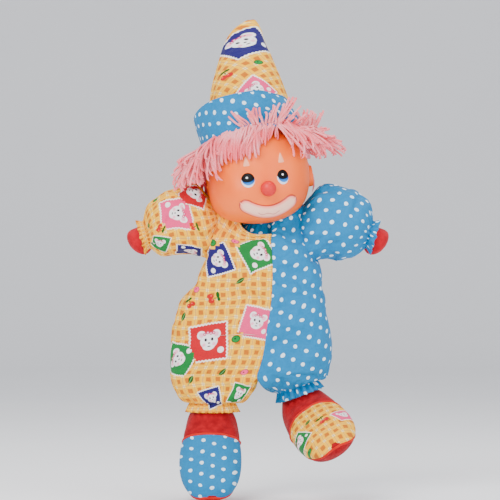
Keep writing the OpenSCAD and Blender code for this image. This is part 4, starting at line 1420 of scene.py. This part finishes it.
def foot(side):
    """Sock, toe cap, sole and the piping between them, cut from one stuffed shape."""
    share = np.concatenate([np.linspace(0, CAP_ROW, 40), np.linspace(CAP_ROW, len(FOOT_ROWS) - 1, 25)[1:]])
    table = spline(np.arange(len(FOOT_ROWS)), FOOT_ROWS, share)
    pts = np.array([foot_ring(row, FOOT_ROUND) for row in table])
    at_cap = 39
    angle = np.arange(FOOT_ROUND) * FOOT_STEP
    mid = pts.mean(axis=1, keepdims=True)
    squeeze = np.zeros(pts.shape[:2])
    for edge in (CAP_FROM, CAP_TO - 360):
        gap = np.abs((angle - edge + 180) % 360 - 180)
        squeeze[: at_cap + 1] += 0.045 * np.exp(-((gap / 5.0) ** 2))
    rows_away = np.abs(np.arange(len(pts)) - at_cap)[:, None]
    front = smooth(20, 45, np.minimum((angle - CAP_FROM) % 360, (CAP_TO - angle) % 360))[None]
    squeeze += 0.05 * np.exp(-((rows_away / 1.6) ** 2)) * np.maximum(front, 0.35)
    pts = mid + (pts - mid) * (1 - squeeze)[..., None]
    pts = creased(pts, 0.9, 2.4, 6.0, 71 + side)
    uv = ring_uv(pts, 30)
    front_uv = np.stack([pts[..., 0], 1.15 * pts[..., 2] + 0.15 * pts[..., 1]], axis=2)
    front_uv = np.concatenate([front_uv, front_uv[:, :1]], axis=1)
    in_cap = lambda c: CAP_FROM <= ((c + 0.5) * FOOT_STEP - CAP_FROM) % 360 + CAP_FROM < CAP_TO

    def piece(name, keep, material, ends=(False, False), uv=uv):
        obj = grid(name + SIDES[side], foot_point(pts, side), uv, wrap=True, flip=True, keep=keep, ends=ends)
        subdivide(obj)
        return dress(obj, material)

    sock = piece("sock_", lambda r, c: r >= at_cap, RED, (False, True))
    sole = piece("sole_", lambda r, c: r < at_cap and not in_cap(c), RED, (True, False))
    cap = piece("toe_cap_", lambda r, c: r < at_cap and in_cap(c), CLOTH[-side], uv=front_uv)
    if side > 0:
        toe = place("ankle_left")
        print_motifs(cap, [(x, toe[1] - 45, z, *rest) for x, z, *rest in TOE_MOTIFS])

    first, last = int(round(CAP_FROM / FOOT_STEP)), int(round(CAP_TO / FOOT_STEP))
    over = [pts[at_cap, c % FOOT_ROUND] for c in range(first, last + 1)]
    down = [pts[r, last % FOOT_ROUND] for r in range(at_cap - 1, 0, -1)]
    up = [pts[r, first % FOOT_ROUND] for r in range(1, at_cap)]
    path = np.array(over + down + up)
    rings, along = tube_along(path, 1.15, 8, closed=True)
    rings = np.concatenate([rings, rings[:1]])
    around = np.linspace(0, 7, 9)
    length = np.concatenate([along, [along[-1] + 1]])
    piping = grid("piping_" + SIDES[side], foot_point(rings, side), np.stack(np.meshgrid(around, length), axis=2),
                  wrap=True)
    return sock, sole, cap, dress(piping, PIPING)


feet = {side: foot(side) for side in SIDES}
leg_bands = {}
for side in SIDES:
    centre, roll, radius = LEGS[side]
    ring = turned(ring_band(radius - 2.2, 3.0, 0.7), spin("Y", roll), centre)
    leg_bands[side] = band("leg_band_" + SIDES[side], ring, ELASTIC)


# ---------------------------------------------------------------- hand opening, neck and lining
def back_surface(x, z):
    """The suit's back at a place, as a y coordinate."""
    ring = body_ring(-1 if x < body_ring(-1, z)[0, 0] else 1, z)
    behind = ring[ring[:, 1] > BODY_Y]
    return behind[np.argmin(np.abs(behind[:, 0] - x))][1]


def opening_hem():
    a = np.linspace(0, TAU, 120, endpoint=False)
    rows = []
    for grow, lift in ((-1.6, -1.6), (-2.2, -0.2), (-1.6, 1.1), (0.6, 1.5), (2.8, 1.2), (3.6, -0.4)):
        ruffle = 0.25 * np.sin(36 * a)
        x, z = (OPENING[0] + grow) * np.cos(a), (OPENING[1] + grow) * np.sin(a)
        y = np.array([back_surface(px, pz) for px, pz in zip(x, z)])
        y = np.convolve(np.concatenate([y[-4:], y, y[:4]]), np.ones(9) / 9, "valid")
        rows.append(np.stack([x, y + lift + ruffle, z], axis=1))
    pts = np.array(rows)
    obj = grid("opening_hem", pts, ring_uv(pts, 3), wrap=True, flip=True)
    subdivide(obj)
    thicken(obj, 0.7)
    return dress(obj, EDGE_GINGHAM)


def inner_floor():
    """The lining that closes the hand's space above the legs: a soft, slightly domed panel."""
    rows, z0 = [], -27.0
    right, left, seam, front, back = spline(BODY[:, 0], BODY[:, 1:], z0)[0]
    centre = np.array([(right + left) / 2, BODY_Y, 0])
    for share in np.linspace(1, 0.03, 16):
        ring = oval(centre + (0, 0, z0 + 3.5 * (1 - share**2)), ((left - right) / 2 * share * 0.91, 0, 0),
                    (0, front * share * 0.9, 0), 72)
        rows.append(ring)
    pts = creased(np.array(rows), 0.6, 3.0, 2.0, 90)
    pts[..., 2] += wander(pts[..., 0] * 0.12, pts[..., 1] * 0.12, 91) * 0.8
    obj = grid("seat_panel", pts, None, wrap=True, flip=True, ends=(False, True))
    subdivide(obj)
    return dress(obj, LINING)


def neck_piece():
    """The gathered blue neck that shows under the chin, above the yellow edge."""
    a = np.linspace(0, TAU, 120, endpoint=False)
    rows = []
    for t in np.linspace(0, 1, 12):
        r = 29.5 - 12.0 * t**0.9
        depth = 26.5 - 9.5 * t
        ring = oval((NECK[0] - 1.5 * (1 - t), BODY_Y, 57.5 + 15.0 * t**1.4), (r, 0, 0), (0, depth, 0), 120)
        rows.append(pleat(ring, np.array([NECK[0], BODY_Y, 0]), a, 26, 0.5 + 0.8 * t, 77))
    pts = np.array(rows)
    obj = grid("neck_piece", pts, ring_uv(pts, 4), wrap=True)
    subdivide(obj)
    thicken(obj, 0.8)
    return dress(obj, DOTS)


def neck_ring(name, radius, drop, half_width, thick, material):
    pts = ring_band(radius, half_width, thick) + (0, 0, drop)
    return band(name, turned(pts, spin("Y", -LEAN), NECK), material)


def yellow_edge():
    """The bound edge of the yellow half where it crosses the neck."""
    path = shoulder_ring(-1, 1.0)[:60] + (0, 0, 0.4)
    rings, along = tube_along(path, 0.85, 8)
    uv = np.stack(np.meshgrid(np.linspace(0, 6, 9), along), axis=2)
    obj = grid("neck_edge", rings, uv, wrap=True, ends=(True, True))
    return dress(obj, EDGE_GINGHAM)


hem, floor_panel, neck_blue = opening_hem(), inner_floor(), neck_piece()
neck_edge = yellow_edge()
neck_tube = neck_ring("neck_sleeve", 15.6, -2.5, 3.4, 0.9, LINING)
cord_ring = neck_ring("neck_cord", 16.6, -2.5, 1.2, 1.0, ELASTIC)


# ---------------------------------------------------------------- what rides on what
def metres(*p):
    return tuple(v * MM for v in p)


def attach(piece, body, slot, *nodes, fill=None):
    """Lets a piece ride on one body, or else bakes its placing into its mesh, and hides the CAD nodes it stands for."""
    if isinstance(body, str):
        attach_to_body(piece, body)
    else:
        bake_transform(piece)
    if nodes:
        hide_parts(*nodes)


for i, (side, end) in enumerate(SIDES.items()):
    suit, arm = ((suit_right, sleeve_right), (suit_left, sleeve_left))[i]
    attach(suit, ("torso", f"leg_{end}", metres(side * 38, BODY_Y, -34), metres(side * 38, BODY_Y, -74)),
           CLOTH_SLOT[side], f"torso_front_{end}", f"torso_back_{end}", f"trouser_{end}", f"leg_stuffing_{end}",
           f"frill_{end}", fill=0.6)
    attach(arm, ("torso", f"arm_{end}", metres(side * 52, BODY_Y, 75), metres(side * 82, BODY_Y, 68)),
           CLOTH_SLOT[side], f"sleeve_{end}", fill=0.7)
    attach(wrist_bands[i], f"arm_{end}", "elastic", f"wrist_elastic_{end}")
    attach(mittens[i], f"hand_{end}", "red_jersey", f"mitten_{end}", f"hand_stuffing_{end}", fill=0.85)
    attach(leg_bands[side], f"leg_{end}", "elastic", f"ankle_elastic_{end}")
    sock, sole, cap, piping = feet[side]
    above, below = foot_point(np.array([(0, 0, 7.0), (0, 0, -9.0)]), side)
    attach(sock, (f"leg_{end}", f"foot_{end}", metres(*above), metres(*below)), "red_jersey", f"sock_{end}",
           f"foot_stuffing_{end}", fill=0.85)
    attach(sole, f"foot_{end}", "red_jersey", f"sole_{end}", fill=0.85)
    attach(cap, f"foot_{end}", CLOTH_SLOT[-side], f"toe_cap_{end}", fill=0.85)
    attach(piping, f"foot_{end}", "red_jersey")

for piece, slot, *nodes in (
    (head, "vinyl", "head_shell"), (ears[0], "vinyl"), (ears[1], "vinyl"), (nose, "nose_plastic", "nose"),
    (eye_right, "eye_plastic", "eye_right"), (eye_left, "eye_plastic", "eye_left"),
    (mouth, "painted_vinyl", "mouth"), (brow_right, "painted_vinyl"), (brow_left, "painted_vinyl"),
    (hat_brim, "dotted_cloth", "hat_brim"), (hat_lip, "dotted_cloth"), (hat_roll, "dotted_cloth"),
    (hair_fringe, "yarn", "hair_fringe"), (hair_right, "yarn", "hair_right"), (hair_left, "yarn", "hair_left"),
    (hair_back, "yarn", "hair_back"), (hair_stray, "yarn"),
):
    attach(piece, "head", slot, *nodes)
attach(hat_cone, "head", "gingham_cloth", "hat_cone", "hat_stuffing", fill=0.8)
attach(hem, "torso", "gingham_cloth", "opening_hem")
attach(floor_panel, "torso", "lining_cloth", "seat_panel")
attach(neck_blue, "torso", "dotted_cloth", "collar")
attach(neck_edge, "torso", "gingham_cloth")
attach(neck_tube, "neck", "lining_cloth", "neck_sleeve")
attach(cord_ring, "neck", "elastic", "neck_cord")
tube = frame["nodes"]["finger_tube"]
tube.data.materials.clear()
tube.data.materials.append(CARD)


# ---------------------------------------------------------------- floor, light and camera
def ground():
    """A pale floor that sweeps up into a backdrop, out of the way of a camera that orbits."""
    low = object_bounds()[0][2] / MM - 0.6
    across, bend_from, bend = np.linspace(-3300, 3300, 9), 2900, 600
    flat = np.array([[(x, y, low) for x in across] for y in np.linspace(-3300, bend_from, 9)])
    floor = grid("floor", flat, np.zeros(flat.shape[:2] + (2,)))
    rise = [[(x, bend_from + bend * math.sin(a), low + bend * (1 - math.cos(a))) for x in across]
            for a in np.linspace(0, math.pi / 2, 12)]
    wall = [[(x, bend_from + bend, low + bend + h) for x in across] for h in (400, 1400, 2600)]
    back = grid("backdrop", np.array(rise + wall), np.zeros((15, 9, 2)))
    s = Shade("floor")
    tone = s.noise(s.place(), 3.0, 3.0)
    s.finish(s.mix(tone, rgb(251, 251, 252), rgb(245, 245, 247)), 0.9)
    for o in (floor, back):
        dress(o, s.mat)


def area(name, place_m, target_m, size, power, color=(1, 1, 1)):
    light = bpy.data.lights.new(name, "AREA")
    light.energy, light.size, light.color = power, size, color
    obj = bpy.data.objects.new(name, light)
    obj.location = place_m
    obj.rotation_euler = (Vector(target_m) - Vector(place_m)).to_track_quat("-Z", "Y").to_euler()
    bpy.context.scene.collection.objects.link(obj)


VIEW_X, VIEW_Z = -7.1, 47.9                 # the middle of the picture
FRAME_WIDTH, DISTANCE = 445.0, 2600.0       # what the camera sees across at the puppet, and how far it stands
ground()
world = bpy.data.worlds.new("studio")
world.use_nodes = True
world.node_tree.nodes["Background"].inputs["Color"].default_value = (0.93, 0.95, 1.0, 1)
world.node_tree.nodes["Background"].inputs["Strength"].default_value = 0.85
bpy.context.scene.world = world
middle = metres(VIEW_X, BODY_Y, VIEW_Z)
area("key", (-0.55, -1.15, 0.95), middle, 0.8, 24)
area("fill", (0.95, -0.9, 0.35), middle, 1.1, 9)
area("top", (0.1, 0.25, 1.3), middle, 1.0, 12)
area("low", (0.0, -1.2, -0.1), middle, 0.9, 3)

camera = bpy.data.cameras.new("camera")
camera.angle = 2 * math.atan(FRAME_WIDTH / 2 / DISTANCE)
view = bpy.data.objects.new("camera", camera)
view.location = metres(VIEW_X, BODY_Y - DISTANCE, VIEW_Z)
view.rotation_euler = (math.pi / 2, 0, 0)
bpy.context.scene.collection.objects.link(view)
bpy.context.scene.camera = view
